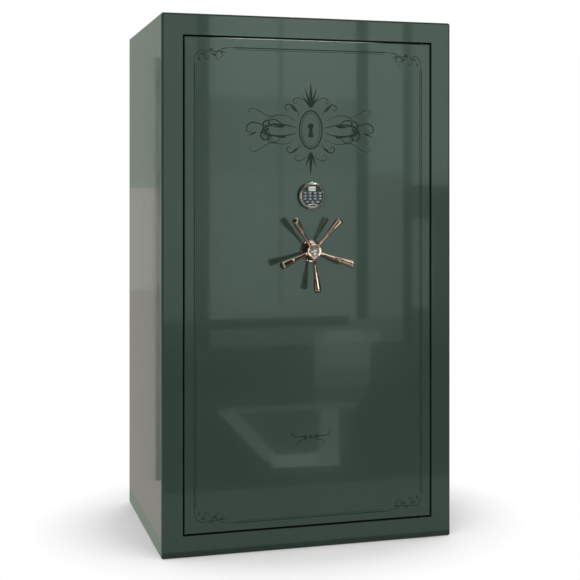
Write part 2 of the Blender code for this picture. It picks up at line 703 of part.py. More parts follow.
def spoke_frame(index):
    """Turns +Z into the direction of a spoke: outwards from the hub and leaning away from the door."""
    angle = -math.pi / 2 + 2 * math.pi * index / SPOKES
    along = Vector((math.cos(angle) * math.cos(SPOKE_LEAN), -math.sin(SPOKE_LEAN),
                    math.sin(angle) * math.cos(SPOKE_LEAN)))
    return along.to_track_quat("Z", "Y")


def build_handle(looks, door, handle):
    centre = (0, HANDLE_Z)
    turned("shaft_bush", ((SHAFT_R + 0.0003, -0.0005), (BUSH_R, -0.0005), (BUSH_R, -0.0415),
                          (SHAFT_R + 0.0003, -0.0415)), centre, looks["brass"], door, 24, ring=True)
    turned("handle_shaft", ((0, 0.0355), (SHAFT_R, 0.0355), (SHAFT_R, -0.0930), (0, -0.0930)), centre,
           looks["steel"], handle, 24)
    hub = turned("handle_hub", HUB_PROFILE, centre, looks["bronze"], handle, 40)
    turned("hub_cap", CAP_PROFILE, centre, looks["chrome"], handle, 28)
    root = (0, FRONT - SPOKE_OUT, HANDLE_Z)
    for i in range(SPOKES):
        spoke = add_object(f"spoke_{i + 1}", lathe_mesh(SPOKE_PROFILE, 14), root, looks["bronze"], handle)
        socket = add_object(f"cut_spoke_{i + 1}",
                            lathe_mesh(((0, 0.0220), (0.0060, 0.0220), (0.0060, 0.0500), (0, 0.0500)), 14),
                            root, None)
        for piece in (spoke, socket):
            piece.rotation_mode = "QUATERNION"
            piece.rotation_quaternion = spoke_frame(i)
        shade_round(spoke)
        cut(hub, socket)


# ---------------------------------------------------------------- keypad

HOUSING_R = 0.0455
HOUSING_STEP = 0.0120  # where the housing steps in to carry the ring
FACE_R = 0.0386
FACE_OUT = 0.0190
KEY_SIZE = (0.0136, 0.0076)
KEY_PITCH = (0.0182, 0.0104)
KEY_TOP_ROW = 0.0102
DISPLAY_X = (-0.0145, 0.0110)
DISPLAY_Z = (0.0164, 0.0326)
KEY_ROWS = (
    ("key_1", "key_2", "key_3", "key_up"),
    ("key_4", "key_5", "key_6", "key_down"),
    ("key_7", "key_8", "key_9", "key_enter"),
    ("key_star", "key_0", "key_hash"),
)
BEZEL_PROFILE = (
    (0.0390, 0.0124), (0.0463, 0.0124), (0.0465, 0.0150), (0.0460, 0.0180), (0.0446, 0.0205),
    (0.0424, 0.0219), (0.0404, 0.0217), (0.0390, 0.0204),
)
COVER_ARC_R = 0.040
COVER_ARC_Z = -0.0672
COVER_EDGE_R = 0.0382


def key_places():
    """Name and place of each key about the keypad's centre."""
    for row, names in enumerate(KEY_ROWS):
        z = KEY_TOP_ROW - row * KEY_PITCH[1]
        for column, name in enumerate(names):
            yield name, (column - (len(names) - 1) / 2) * KEY_PITCH[0], z


def out_block(name, x, out, z, look, parent=None, **bevel):
    return block(name, x, (-out[1], -out[0]), z, look, parent, **bevel)


def cover_outline():
    """Lens shape between the face's edge and an arc that rises towards the keys."""
    z = (COVER_ARC_R ** 2 - COVER_EDGE_R ** 2 - COVER_ARC_Z ** 2) / (-2 * COVER_ARC_Z)
    x = math.sqrt(COVER_EDGE_R ** 2 - z ** 2)
    low = math.degrees(math.atan2(z, x))
    high = math.degrees(math.atan2(z - COVER_ARC_Z, x))
    lower = arc((0, 0), COVER_EDGE_R, -180 - low, low, 12)
    upper = arc((0, COVER_ARC_Z), COVER_ARC_R, high, 180 - high, 12)
    return [(x, z + KEYPAD_Z) for x, z in lower + upper[1:-1]]


def build_keypad(looks, door, keys, cover_slide):
    centre = (0, KEYPAD_Z)
    housing = turned("keypad_housing", ((0, 0.0004), (HOUSING_R, 0.0004), (HOUSING_R, HOUSING_STEP),
                                        (FACE_R, HOUSING_STEP), (FACE_R, FACE_OUT), (0, FACE_OUT)),
                     centre, looks["black"], door, 40)
    turned("keypad_bezel", BEZEL_PROFILE, centre, looks["chrome"], door, 40, ring=True)
    room = 0.0004
    for name, x, z in key_places():
        width, height = KEY_SIZE
        span_x = (x - width / 2, x + width / 2)
        span_z = (KEYPAD_Z + z - height / 2, KEYPAD_Z + z + height / 2)
        out_block(name, span_x, (FACE_OUT - 0.0010, FACE_OUT + 0.0022), span_z, looks["key"], keys[name],
                  bevel=0.0012, segments=1)
        cut(housing, out_block(f"cut_{name}", (span_x[0] - room, span_x[1] + room),
                               (FACE_OUT - 0.0024, FACE_OUT + 0.0050),
                               (span_z[0] - room, span_z[1] + room), None))
    out_block("display_lens", DISPLAY_X, (FACE_OUT + 0.0003, FACE_OUT + 0.0015),
              [KEYPAD_Z + z for z in DISPLAY_Z], looks["glass"], door)
    plate("battery_cover", cover_outline(), (-FACE_OUT - 0.0034, -FACE_OUT - 0.0003), looks["chrome"],
          cover_slide)


# ---------------------------------------------------------------- assembly

def make_pivots():
    """Empties on the axes of everything that moves."""
    door = pivot("door_axis", (HINGE_X, at_depth(HINGE_DEPTH), 0))
    handle = pivot("handle_axis", (0, FRONT, HANDLE_Z), door)
    slides = {name: pivot(f"{name}_slide", (0, at_depth(BAR_DEPTH), HANDLE_Z), door)
              for name in ("left_bar", "right_bar", "top_bar", "bottom_bar")}
    lock_slide = pivot("lock_bolt_slide", (PITCH_R, at_depth(RACK_DEPTH_2), KEYPAD_Z), door)
    cover_slide = pivot("battery_cover_slide", (0, FRONT, KEYPAD_Z), door)
    keys = {name: pivot(f"{name}_slide", (x, FRONT, KEYPAD_Z + z), door) for name, x, z in key_places()}
    return door, handle, slides, lock_slide, cover_slide, keys


def main():
    clear_scene()
    looks = make_materials()
    door, handle, slides, lock_slide, cover_slide, keys = make_pivots()
    build_cabinet_shell(looks)
    build_fireboard(looks)
    build_lining(looks)
    build_door_seal(looks)
    build_hinge_brackets(looks)
    build_shelves(looks)
    build_barrel_rack(looks)
    build_fittings(looks)
    build_door_plate(looks, door)
    build_hinge_arms(looks, door)
    build_door_fireboard(looks, door)
    build_door_box(looks, door)
    build_door_panel(looks, door)
    build_bars(looks, slides)
    build_racks(looks, slides)
    build_lock(looks, door, lock_slide)
    build_handle(looks, door, handle)
    build_pinion(looks, handle)
    build_keypad(looks, door, keys, cover_slide)


main()
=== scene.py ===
"""Looks of the gun safe: glossy green enamel with painted scrollwork, bright fittings and a fabric interior.

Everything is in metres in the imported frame: +X to the viewer's right, +Y into the safe, +Z up.
"out" is a distance in front of the door, towards -Y.
"""
import json
import math

import bmesh
import bpy
from mathutils import Matrix, Vector, noise

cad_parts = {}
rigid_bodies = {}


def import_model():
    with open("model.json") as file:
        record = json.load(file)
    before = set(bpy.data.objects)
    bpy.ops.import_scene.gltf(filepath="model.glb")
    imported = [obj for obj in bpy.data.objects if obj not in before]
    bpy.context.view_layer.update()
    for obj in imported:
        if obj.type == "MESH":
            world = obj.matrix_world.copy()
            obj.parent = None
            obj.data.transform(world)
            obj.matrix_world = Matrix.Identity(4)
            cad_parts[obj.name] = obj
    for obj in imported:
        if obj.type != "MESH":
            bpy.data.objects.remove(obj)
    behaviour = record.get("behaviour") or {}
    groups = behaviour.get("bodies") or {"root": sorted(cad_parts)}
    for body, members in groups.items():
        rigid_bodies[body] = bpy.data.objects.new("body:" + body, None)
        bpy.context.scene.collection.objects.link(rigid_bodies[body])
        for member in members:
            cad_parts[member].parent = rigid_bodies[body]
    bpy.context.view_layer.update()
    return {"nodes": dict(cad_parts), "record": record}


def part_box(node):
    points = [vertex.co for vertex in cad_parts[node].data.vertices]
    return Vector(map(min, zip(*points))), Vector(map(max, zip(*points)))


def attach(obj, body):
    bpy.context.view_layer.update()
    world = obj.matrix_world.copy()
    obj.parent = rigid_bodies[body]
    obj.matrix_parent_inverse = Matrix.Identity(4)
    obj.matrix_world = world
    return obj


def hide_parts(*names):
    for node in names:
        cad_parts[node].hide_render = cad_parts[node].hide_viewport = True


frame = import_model()

X, Y, Z = Vector((1, 0, 0)), Vector((0, 1, 0)), Vector((0, 0, 1))
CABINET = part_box("cabinet_shell")
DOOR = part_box("door_plate")
FACE_Y = DOOR[0].y


def on_face(node):
    """A node's centre, moved onto the door's face."""
    low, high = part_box(node)
    return Vector(((low.x + high.x) / 2, FACE_Y, (low.z + high.z) / 2))


def front_out(node):
    """How far a node's front stands out from the door's face."""
    return FACE_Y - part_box(node)[0].y


def front_size(node):
    """A node's width and height, seen from the front."""
    low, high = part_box(node)
    return high.x - low.x, high.z - low.z


HANDLE_AT = on_face("handle_hub")
KEYPAD_AT = on_face("keypad_bezel")
FACE_OUT = front_out("keypad_housing")


def setup(thing, **settings):
    """Sets several properties of a thing and gives it back."""
    for name, value in settings.items():
        setattr(thing, name, value)
    return thing


# ---------------- finishes

def shade(colour, factor):
    return tuple(c * factor for c in colour)


class Nodes:
    """Short calls for the shader nodes of a material or a world."""

    def __init__(self, owner, blank=True):
        owner.use_nodes = True
        self.tree = owner.node_tree
        if blank:
            self.tree.nodes.clear()

    def node(self, kind, inputs=None, **settings):
        made = setup(self.tree.nodes.new(f"ShaderNode{kind}"), **settings)
        for name, value in (inputs or {}).items():
            self.feed(made.inputs[name], value)
        return made

    def feed(self, socket, value):
        """Links a node's output to the socket, or sets the socket to a plain value."""
        if isinstance(value, bpy.types.NodeSocket):
            self.tree.links.new(value, socket)
        elif socket.type == "RGBA":
            socket.default_value = (*value, 1)
        else:
            socket.default_value = value

    def range(self, value, low=0.0, high=1.0, start=0.3, end=0.7):
        """The value's span from start to end, spread from low to high."""
        inputs = {"Value": value, "From Min": start, "From Max": end, "To Min": low, "To Max": high}
        return self.node("MapRange", inputs).outputs["Result"]

    def mix(self, amount, a, b):
        """A colour between a and b."""
        made = self.node("Mix", {"Factor": amount}, data_type="RGBA")
        for socket, colour in zip([s for s in made.inputs if s.type == "RGBA"], (a, b)):
            self.feed(socket, colour)
        return [s for s in made.outputs if s.type == "RGBA"][0]


class Finish(Nodes):
    """A procedural material on a Principled shader."""

    def __init__(self, name, colour, roughness=0.5, metallic=0.0):
        self.material = bpy.data.materials.new(name)
        super().__init__(self.material, blank=False)
        self.shader = self.tree.nodes["Principled BSDF"]
        self.place = self.node("TexCoord").outputs["Object"]
        self.normal = None
        self.set("Base Color", colour)
        self.set("Roughness", roughness)
        self.set("Metallic", metallic)

    def set(self, name, value):
        self.feed(self.shader.inputs[name], value)

    def colour(self, amount, a, b):
        """Colours the surface from a to b by amount."""
        self.set("Base Color", self.mix(amount, a, b))

    def polish(self, value, low, high):
        """Roughness from low to high, as the value goes from 0.3 to 0.7."""
        self.set("Roughness", self.range(value, low, high))

    def stretched(self, scale):
        """The place in the object with each axis scaled."""
        return self.node("Mapping", {"Vector": self.place, "Scale": scale}).outputs["Vector"]

    def noise(self, scale, detail=3.0, rough=0.5, at=None):
        inputs = {"Vector": at or self.place, "Scale": scale, "Detail": detail, "Roughness": rough}
        return self.node("TexNoise", inputs).outputs["Fac"]

    def cells(self, scale, output="Distance"):
        return self.node("TexVoronoi", {"Vector": self.place, "Scale": scale}).outputs[output]

    def waves(self, scale, direction, distortion=0.0):
        inputs = {"Vector": self.place, "Scale": scale, "Distortion": distortion}
        return self.node("TexWave", inputs, bands_direction=direction).outputs["Fac"]

    def bump(self, height, distance, strength=1.0):
        """Adds relief on top of the relief that is there already."""
        inputs = {"Height": height, "Distance": distance, "Strength": strength}
        if self.normal:
            inputs["Normal"] = self.normal
        self.normal = self.node("Bump", inputs).outputs["Normal"]
        self.set("Normal", self.normal)


ENAMEL_DARK = (0.034, 0.0575, 0.0445)
ENAMEL_LIGHT = (0.045, 0.0725, 0.057)
ENAMEL_FLAKE = (0.065, 0.097, 0.078)


def enamel(name):
    """Green metallic enamel under clear lacquer, with flakes and a trace of orange peel."""
    made = Finish(name, ENAMEL_DARK, 0.16, 0.5)
    flake = made.node("SeparateColor", {0: made.cells(2600.0, "Color")}).outputs[0]
    tone = made.mix(made.range(made.noise(1.6, 2.0), 0.2, 0.8), ENAMEL_DARK, ENAMEL_LIGHT)
    made.colour(made.range(flake, 0.0, 0.35, 0.4, 1.0), tone, ENAMEL_FLAKE)
    made.polish(made.noise(7.0, 5.0, 0.6), 0.13, 0.2)
    made.set("Coat Weight", 1.0)
    made.set("Coat Roughness", made.range(made.noise(11.0, 4.0, 0.6), 0.022, 0.05))
    made.bump(made.noise(230.0, 1.0), 0.00003, 0.35)
    return made.material


def smudge(made, roughness):
    """Wiping marks in the polish of a metal."""
    made.polish(made.noise(34.0, 4.0, 0.6), roughness * 0.75, roughness * 1.35)


def metal(name, colour, roughness, grain=0.0, stretch=(1, 1, 1)):
    """Plated or bare metal whose polish varies a little, with fine grain along one axis."""
    made = Finish(name, colour, roughness, 1.0)
    smudge(made, roughness)
    made.colour(made.range(made.noise(60.0, 5.0, 0.7), start=0.35, end=0.65), shade(colour, 0.86), colour)
    if grain:
        made.bump(made.noise(900.0, 2.0, at=made.stretched(stretch)), grain)
    return made.material


def dark_chrome(name, colour, edge, roughness):
    """Bronze-tinted black chrome, warm where it faces the eye, with painted shade where it turns away: edge
    darkens its rims in place of dark reflections.
    """
    made = Finish(name, colour, roughness, 1.0)
    turn = made.node("LayerWeight", {"Blend": 0.5}).outputs["Facing"]
    # painted shade: the colour goes towards edge as the surface turns from the eye
    made.colour(made.range(turn, start=0.3, end=0.8), colour, edge)
    smudge(made, roughness)
    return made.material


def plastic(name, colour, roughness, texture=0.00003):
    """Moulded plastic with a fine spark-eroded texture."""
    made = Finish(name, colour, roughness)
    lighter = tuple(min(1.0, c * 1.5 + 0.004) for c in colour)
    made.colour(made.range(made.noise(80.0, 4.0), 0.0, 0.6, 0.4, 0.8), colour, lighter)
    made.polish(made.noise(140.0, 3.0), roughness * 0.85, roughness * 1.2)
    made.bump(made.noise(1400.0, 2.0), texture, 0.6)
    return made.material


def carpet(name, dark, light):
    """Short looped pile glued to board."""
    made = Finish(name, dark, 0.95)
    fuzz = made.noise(1500.0, 4.0, 0.7)
    tone = made.mix(made.range(made.noise(26.0, 5.0, 0.7)), dark, light)
    made.colour(made.range(fuzz, 0.0, 0.75, 0.35, 0.75), tone, shade(dark, 0.55))
    made.set("Sheen Weight", 0.35)
    made.set("Sheen Roughness", 0.6)
    made.bump(made.cells(520.0), 0.0008, 0.8)
    made.bump(fuzz, 0.0004, 0.7)
    return made.material


def weave(name, dark, light, threads=900.0, sheen=0.2):
    """Plain-woven pack cloth: warp and weft ridges with slubs."""
    made = Finish(name, dark, 0.8)
    warp, weft = (made.waves(threads / 6.3, direction, 0.6) for direction in "XZ")
    cloth = made.node("Math", {0: warp, 1: weft}, operation="MULTIPLY").outputs[0]
    slub = made.noise(38.0, 5.0, 0.7, at=made.stretched((1, 1, 7)))
    tone = made.mix(made.range(slub), dark, light)
    made.colour(made.range(cloth, 0.45, 0.0, 0.0, 0.8), tone, shade(dark, 0.4))
    made.set("Sheen Weight", sheen)
    made.set("Roughness", made.range(slub, 0.7, 0.9, 0.0, 1.0))
    made.bump(cloth, 0.0003, 0.8)
    return made.material


def gypsum(name):
    """Paper-faced fire board with faint fibres."""
    made = Finish(name, (0.62, 0.59, 0.54), 0.9)
    fibre = made.noise(300.0, 6.0, 0.7, at=made.stretched((1, 1, 0.15)))
    made.colour(made.range(fibre), (0.55, 0.52, 0.47), (0.68, 0.66, 0.61))
    made.bump(fibre, 0.0002, 0.6)
    return made.material


def plain_paint(name, colour, roughness, shine=0.5):
    """Thin decorative paint or a print, laid over another surface."""
    made = Finish(name, colour, roughness)
    made.colour(made.range(made.noise(55.0, 4.0, 0.7), start=0.35, end=0.65), colour, shade(colour, 1.35))
    made.set("Specular IOR Level", shine)
    return made.material


def powder_coat(name, colour):
    """Black powder coating with its leathery texture."""
    made = Finish(name, colour, 0.45)
    grain = made.cells(650.0)
    made.colour(made.range(grain, start=0.2, end=0.8), colour, shade(colour, 2.0))
    made.polish(made.noise(90.0, 3.0), 0.36, 0.52)
    made.bump(grain, 0.00012, 0.7)
    return made.material


def display(name):
    """A lit liquid-crystal panel: pale green-grey and slightly cloudy."""
    made = Finish(name, (0.52, 0.6, 0.52), 0.25)
    tone = made.mix(made.range(made.noise(45.0, 1.0)), (0.31, 0.37, 0.31), (0.4, 0.45, 0.4))
    made.set("Base Color", tone)
    made.set("Emission Color", tone)
    made.set("Emission Strength", 0.22)
    made.bump(made.waves(700.0, "X"), 0.00002, 0.3)
    return made.material


def diffuser(name):
    """Frosted cover of the light strip, with the faint row of lamps behind it."""
    made = Finish(name, (0.82, 0.82, 0.78), 0.45)
    lamps = made.waves(9.0, "X")
    glow = made.range(lamps, start=0.0, end=1.0)
    made.set("Emission Color", made.mix(glow, (0.8, 0.86, 0.9), (1.0, 1.0, 0.97)))
    made.set("Emission Strength", made.range(lamps, 0.5, 1.1, 0.0, 1.0))
    made.bump(made.waves(160.0, "X"), 0.0002, 0.5)
    return made.material


def make_finishes():
    return {
        "enamel": enamel("green_enamel"),
        "line": plain_paint("dark_line_paint", (0.01, 0.02, 0.016), 0.5, 0.25),
        # the second colour is painted shade for the rims turned from the eye
        "bronze": dark_chrome("black_bronze_chrome_painted_rim_shade", (0.55, 0.41, 0.34), (0.1, 0.028, 0.022), 0.045),
        "nickel": metal("satin_nickel", (0.66, 0.62, 0.52), 0.24),
        "chrome": metal("bright_chrome", (0.84, 0.81, 0.74), 0.07),
        "zinc": metal("zinc_plate", (0.56, 0.56, 0.52), 0.32, 0.00003, (1, 1, 0.1)),
        "bright_steel": metal("bright_steel", (0.66, 0.66, 0.65), 0.22, 0.00003, (1, 1, 0.06)),
        "hard": metal("hardened_steel", (0.14, 0.14, 0.15), 0.42, 0.00004),
        "bush": metal("bearing_bronze", (0.6, 0.4, 0.18), 0.28, 0.00003),
        "tray": powder_coat("black_powder_coat", (0.012, 0.012, 0.013)),
        "black": plastic("black_plastic", (0.012, 0.013, 0.014), 0.38),
        "face": plastic("keypad_face", (0.022, 0.026, 0.03), 0.42),
        "key": plastic("key_rubber", (0.12, 0.135, 0.155), 0.5, 0.00002),
        "print": plain_paint("white_print", (0.5, 0.53, 0.56), 0.45),
        "ink": plain_paint("dark_print", (0.05, 0.06, 0.05), 0.45),
        "lcd": display("lit_display"),
        "seal": plastic("seal_strip", (0.02, 0.02, 0.02), 0.75, 0.0001),
        "board": gypsum("gypsum_board"),
        "carpet": carpet("charcoal_carpet", (0.07, 0.068, 0.066), (0.115, 0.11, 0.104)),
        "lining": carpet("grey_lining", (0.15, 0.143, 0.135), (0.215, 0.205, 0.192)),
        "panel": weave("panel_cloth", (0.06, 0.059, 0.058), (0.095, 0.093, 0.09), 1100.0),
        "pack": weave("pack_cloth", (0.03, 0.032, 0.033), (0.056, 0.058, 0.058), 1500.0, 0.35),
        "binding": weave("binding_tape", (0.008, 0.008, 0.008), (0.018, 0.018, 0.018), 2400.0),
        "thread": plastic("stitching", (0.36, 0.36, 0.34), 0.6),
        "outlet": plastic("outlet_plastic", (0.03, 0.03, 0.032), 0.35),
        "diffuser": diffuser("light_diffuser"),
    }


LOOKS = make_finishes()


# ---------------- shapes

def link_object(name, data):
    made = bpy.data.objects.new(name, data)
    bpy.context.scene.collection.objects.link(made)
    return made


def link_mesh(name, bm, *finishes):
    """Makes an object of a finished mesh."""
    data = bpy.data.meshes.new(name)
    bm.to_mesh(data)
    bm.free()
    for finish in finishes:
        data.materials.append(finish)
    return link_object(name, data)


def add_piece(name, bm, body, finishes, replaces=(), sharp=35):
    """Links a finished mesh, smooths it where it is round, and lets it ride on a body."""
    bmesh.ops.recalc_face_normals(bm, faces=bm.faces[:])
    made = link_mesh(name, bm, *(LOOKS[finish] for finish in finishes))
    made.data.shade_smooth()
    made.data.set_sharp_from_angle(angle=math.radians(sharp))
    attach(made, body)
    if replaces:
        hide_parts(*replaces)


def bridge(bm, rows, around=True, loop=False, caps=True, index=0):
    """Faces between rows of vertices; a row of one vertex is a point.

    around joins each row's end to its start and loop the last row to the first. caps close both end rows.
    """
    for low, high in zip(rows, rows[1:] + rows[:1] if loop else rows[1:]):
        count = max(len(low), len(high))
        for i in range(count if around else count - 1):
            j = (i + 1) % count
            corners = (low[i % len(low)], low[j % len(low)], high[j % len(high)], high[i % len(high)])
            unique = list(dict.fromkeys(corners))
            if len(unique) > 2:
                bm.faces.new(unique).material_index = index
    for row in (rows[0][::-1], rows[-1]) if caps else ():
        bm.faces.new(row).material_index = index


def skin(bm, rows, **how):
    """Vertices at rows of places, and the faces between them."""
    rows = [[bm.verts.new(place) for place in row] for row in rows]
    bridge(bm, rows, **how)
    return rows


def arc(a, b, start, end, steps, centre=(0.0, 0.0)):
    """Points along an ellipse between two angles, with both ends."""
    angles = [start + (end - start) * i / steps for i in range(steps + 1)]
    return [Vector((centre[0] + a * math.cos(t), centre[1] + b * math.sin(t))) for t in angles]


def ellipse(a, b, steps, centre=(0.0, 0.0)):
    return arc(a, b, 0.0, 2 * math.pi, steps, centre)[:-1]


def evenly(first, last, count):
    return [first + (last - first) * i / (count - 1) for i in range(count)]


def rectangle(x, z, width, height):
    """Corners of a rectangle about (x, z)."""
    return [(x + a * width / 2, z + b * height / 2) for a, b in ((-1, -1), (1, -1), (1, 1), (-1, 1))]


def stadium(width, height, steps=8):
    """An outline with half-round ends, about its centre."""
    radius = height / 2
    reach = width / 2 - radius
    quarter = math.pi / 2
    return (arc(radius, radius, -quarter, quarter, steps, (reach, 0.0))
            + arc(radius, radius, quarter, 3 * quarter, steps, (-reach, 0.0)))


def rounded(corners, steps=5, closed=False):
    """A path whose corners (a, b, radius) are filleted."""
    points = []
    for i, (a, b, radius) in enumerate(corners):
        here = Vector((a, b))
        reach = 0.0
        if radius > 0 and (closed or 0 < i < len(corners) - 1):
            before = Vector(corners[i - 1][:2]) - here
            after = Vector(corners[(i + 1) % len(corners)][:2]) - here
            room = min(before.length, after.length) / 2
            before.normalize()
            after.normalize()
            half = math.acos(max(-1.0, min(1.0, before.dot(after)))) / 2
            if half < math.pi / 2 - 0.01:
                reach = min(radius / math.tan(half), room)
        if reach < 1e-7:
            points.append(here)
            continue
        start, end = here + before * reach, here + after * reach
        for step in range(steps + 1):
            t = step / steps
            points.append(start * (1 - t) ** 2 + here * 2 * t * (1 - t) + end * t * t)
    return points


def outwards(place):
    """A frame at a point of the door, with Z pointing out of the door and Y up."""
    return Matrix.Translation(place) @ Matrix.Rotation(math.pi / 2, 4, "X")


def inwards(x, y, z):
    """A frame with Z pointing into the safe."""
    return Matrix.Translation((x, y, z)) @ Matrix.Rotation(-math.pi / 2, 4, "X")


def lathe(bm, at, profile, steps, ring=False):
    """(radius, height) points turned about the Z axis of a frame. A ring's profile is a closed loop."""
    rows = []
    for radius, height in profile:
        turn = ellipse(radius, radius, steps) if radius > 1e-6 else [Vector((0, 0))]
        rows.append([at @ Vector((*p, height)) for p in turn])
    skin(bm, rows, loop=ring, caps=False)


def add_turned(name, body, finish, frames, *shapes, replaces=()):
    """One piece made of turned shapes (profile, steps, ring), repeated at every frame."""
    bm = bmesh.new()
    for at in frames:
        for shape in shapes:
            lathe(bm, at, *shape)
    add_piece(name, bm, body, [finish], replaces)


def sheet_solid(bm, at, outline, low, high, inset=0.0, index=0):
    """A closed outline (a, b) pushed along the Z axis of a frame, its top edge rounded inwards by inset."""
    outline = [Vector(p) for p in outline]
    centre = sum(outline, Vector((0, 0))) / len(outline)
    normals = []
    for i, here in enumerate(outline):
        along = (outline[(i + 1) % len(outline)] - outline[i - 1]).normalized()
        normal = Vector((-along.y, along.x))
        normals.append(-normal if normal.dot(here - centre) > 0 else normal)
    levels = [(low, 0.0), (high - inset, 0.0)]
    if inset:
        levels += [(high - inset * (1 - math.sin(a)), inset * (1 - math.cos(a)))
                   for a in (math.radians(30), math.radians(60), math.radians(90))]
    rows = [[at @ Vector((*(p + normal * pull), height)) for p, normal in zip(outline, normals)]
            for height, pull in levels]
    skin(bm, rows, index=index)


# ---------------- painted ornament

PAINT_T = 0.00025
PAINT_SUNK = 0.00005  # how far the paint reaches into the door's skin
LAYER = 0.000003  # each stroke stands out this much more than the one before
OVER = 0.00001  # what is painted over the rest stands out this much more


def stroke_path(start, angle, runs, step=0.0016):
    """Points along a pen stroke: each run is (length, curvature at its start, curvature at its end)."""
    points = [Vector(start)]
    heading = math.radians(angle)
    for length, first, last in runs:
        count = max(2, round(length / step))
        for i in range(count):
            bend = first + (last - first) * (i + 0.5) / count
            heading += bend * length / count
            points.append(points[-1] + Vector((math.cos(heading), math.sin(heading))) * length / count)
    return points


def swelling(t, thin=0.22):
    """A pen's width along a stroke, thin at both ends."""
    return thin + (1 - thin) * math.sin(math.pi * min(1.0, max(0.0, t))) ** 0.8


def teardrop(centre, angle, length, width, steps=9):
    """Outline points of a leaf: round at its foot and pointed at its tip."""
    direction = Vector((math.cos(math.radians(angle)), math.sin(math.radians(angle))))
    across = Vector((-direction.y, direction.x))
    left, right = [], []
    for i in range(steps + 1):
        t = i / steps
        half = width / 2 * math.sin(math.pi * t ** 0.62) * (1 - 0.25 * t)
        left.append(Vector(centre) + direction * length * t + across * half)
        right.append(Vector(centre) + direction * length * t - across * half)
    return left + list(reversed(right[1:-1]))


class Painting:
    """Paint on the door's face, each stroke a hair over the one before. Points are (x, z)."""

    def __init__(self, layer=LAYER):
        self.bm = bmesh.new()
        self.layer = layer
        self.lift = 0.0

    def depths(self, over):
        """The y of the paint's front and back, for the next stroke or for one that lies over all of them."""
        if not over:
            self.lift += self.layer
        return FACE_Y - PAINT_T - self.lift - over, FACE_Y + PAINT_SUNK

    def stroke(self, points, width, over=0.0, swell=True, closed=False):
        count = len(points)
        front, back = self.depths(over)
        rows = []
        for i, point in enumerate(points):
            before = points[i - 1] if i or closed else point
            after = points[(i + 1) % count] if i < count - 1 or closed else point
            along = (after - before).normalized()
            half = Vector((-along.y, along.x)) * width * (swelling(i / (count - 1)) if swell else 1.0) / 2
            a, b = point - half, point + half
            rows.append([(a.x, front, a.y), (b.x, front, b.y), (b.x, back, b.y), (a.x, back, a.y)])
        skin(self.bm, rows, loop=closed, caps=not closed)

    def area(self, outline, over=0.0):
        skin(self.bm, [[(p[0], y, p[1]) for p in outline] for y in self.depths(over)])

    def draw(self, strokes, leaves, origin, scale):
        """Strokes and leaves about an origin, with each axis scaled; a negative scale mirrors them."""
        def placed(points):
            return [Vector((origin[0] + scale[0] * p.x, origin[1] + scale[1] * p.y)) for p in points]

        for start, angle, runs, width in strokes:
            self.stroke(placed(stroke_path(start, angle, runs)), width)
        for leaf in leaves:
            self.area(placed(teardrop(*leaf)))

    def finish(self, name):
        add_piece(name, self.bm, "door", ["line"])


# A stroke is (start, heading, runs, width) and a leaf is (foot, heading, length, width).
BORDER_INSET = 0.034
BORDER_INSET_LOW = 0.8 * BORDER_INSET
BORDER_LINES = ((0.0, 0.0034), (0.0065, 0.0015))  # how far in, how wide
CORNER_W = 0.138
CORNER_H = 0.054
CORNER_GROWTH = (1.28, 1.17)
CORNER_STROKES = (
    ((0.0, -0.046), 88, ((0.03, -6, -30), (0.036, -30, -150)), 0.0022),
    ((0.108, 0.0), 180, ((0.038, 4, 20), (0.044, 20, 120)), 0.0024),
    ((0.03, -0.01), -20, ((0.034, 30, -10), (0.034, -40, -190)), 0.0026),
    ((0.036, -0.014), 205, ((0.02, 40, 90), (0.022, 110, 240)), 0.0022),
    ((0.062, -0.021), 160, ((0.018, -60, -20), (0.016, 60, 220)), 0.0018),
)
CORNER_LEAVES = (
    ((0.046, -0.018), -28, 0.018, 0.005), ((0.04, -0.012), 38, 0.014, 0.0042),
    ((0.026, -0.016), 215, 0.014, 0.0042), ((0.07, -0.012), -8, 0.017, 0.004),
    ((0.014, -0.03), 250, 0.013, 0.0038),
)


def add_border():
    """The fine double line round the door and the scrollwork in its corners."""
    left, right = DOOR[0].x + BORDER_INSET, DOOR[1].x - BORDER_INSET
    low, high = DOOR[0].z + BORDER_INSET_LOW, DOOR[1].z - BORDER_INSET
    lines = Painting(layer=0.0)
    for inset, width in BORDER_LINES:
        x0, x1, z0, z1 = left + inset, right - inset, low + inset, high - inset
        runs = [((x, z0 + CORNER_H), (x, z1 - CORNER_H)) for x in (x0, x1)]
        runs += [((x0 + CORNER_W, z), (x1 - CORNER_W, z)) for z in (z1, z0)]
        for run in runs:
            lines.stroke([Vector(end) for end in run], width, swell=False)
    lines.finish("border_line")

    scrolls = Painting()
    for x, grow_x in ((left, CORNER_GROWTH[0]), (right, -CORNER_GROWTH[0])):
        for z, grow_z in ((high, CORNER_GROWTH[1]), (low, -CORNER_GROWTH[1])):
            scrolls.draw(CORNER_STROKES, CORNER_LEAVES, (x, z), (grow_x, grow_z))
    scrolls.finish("corner_scrolls")


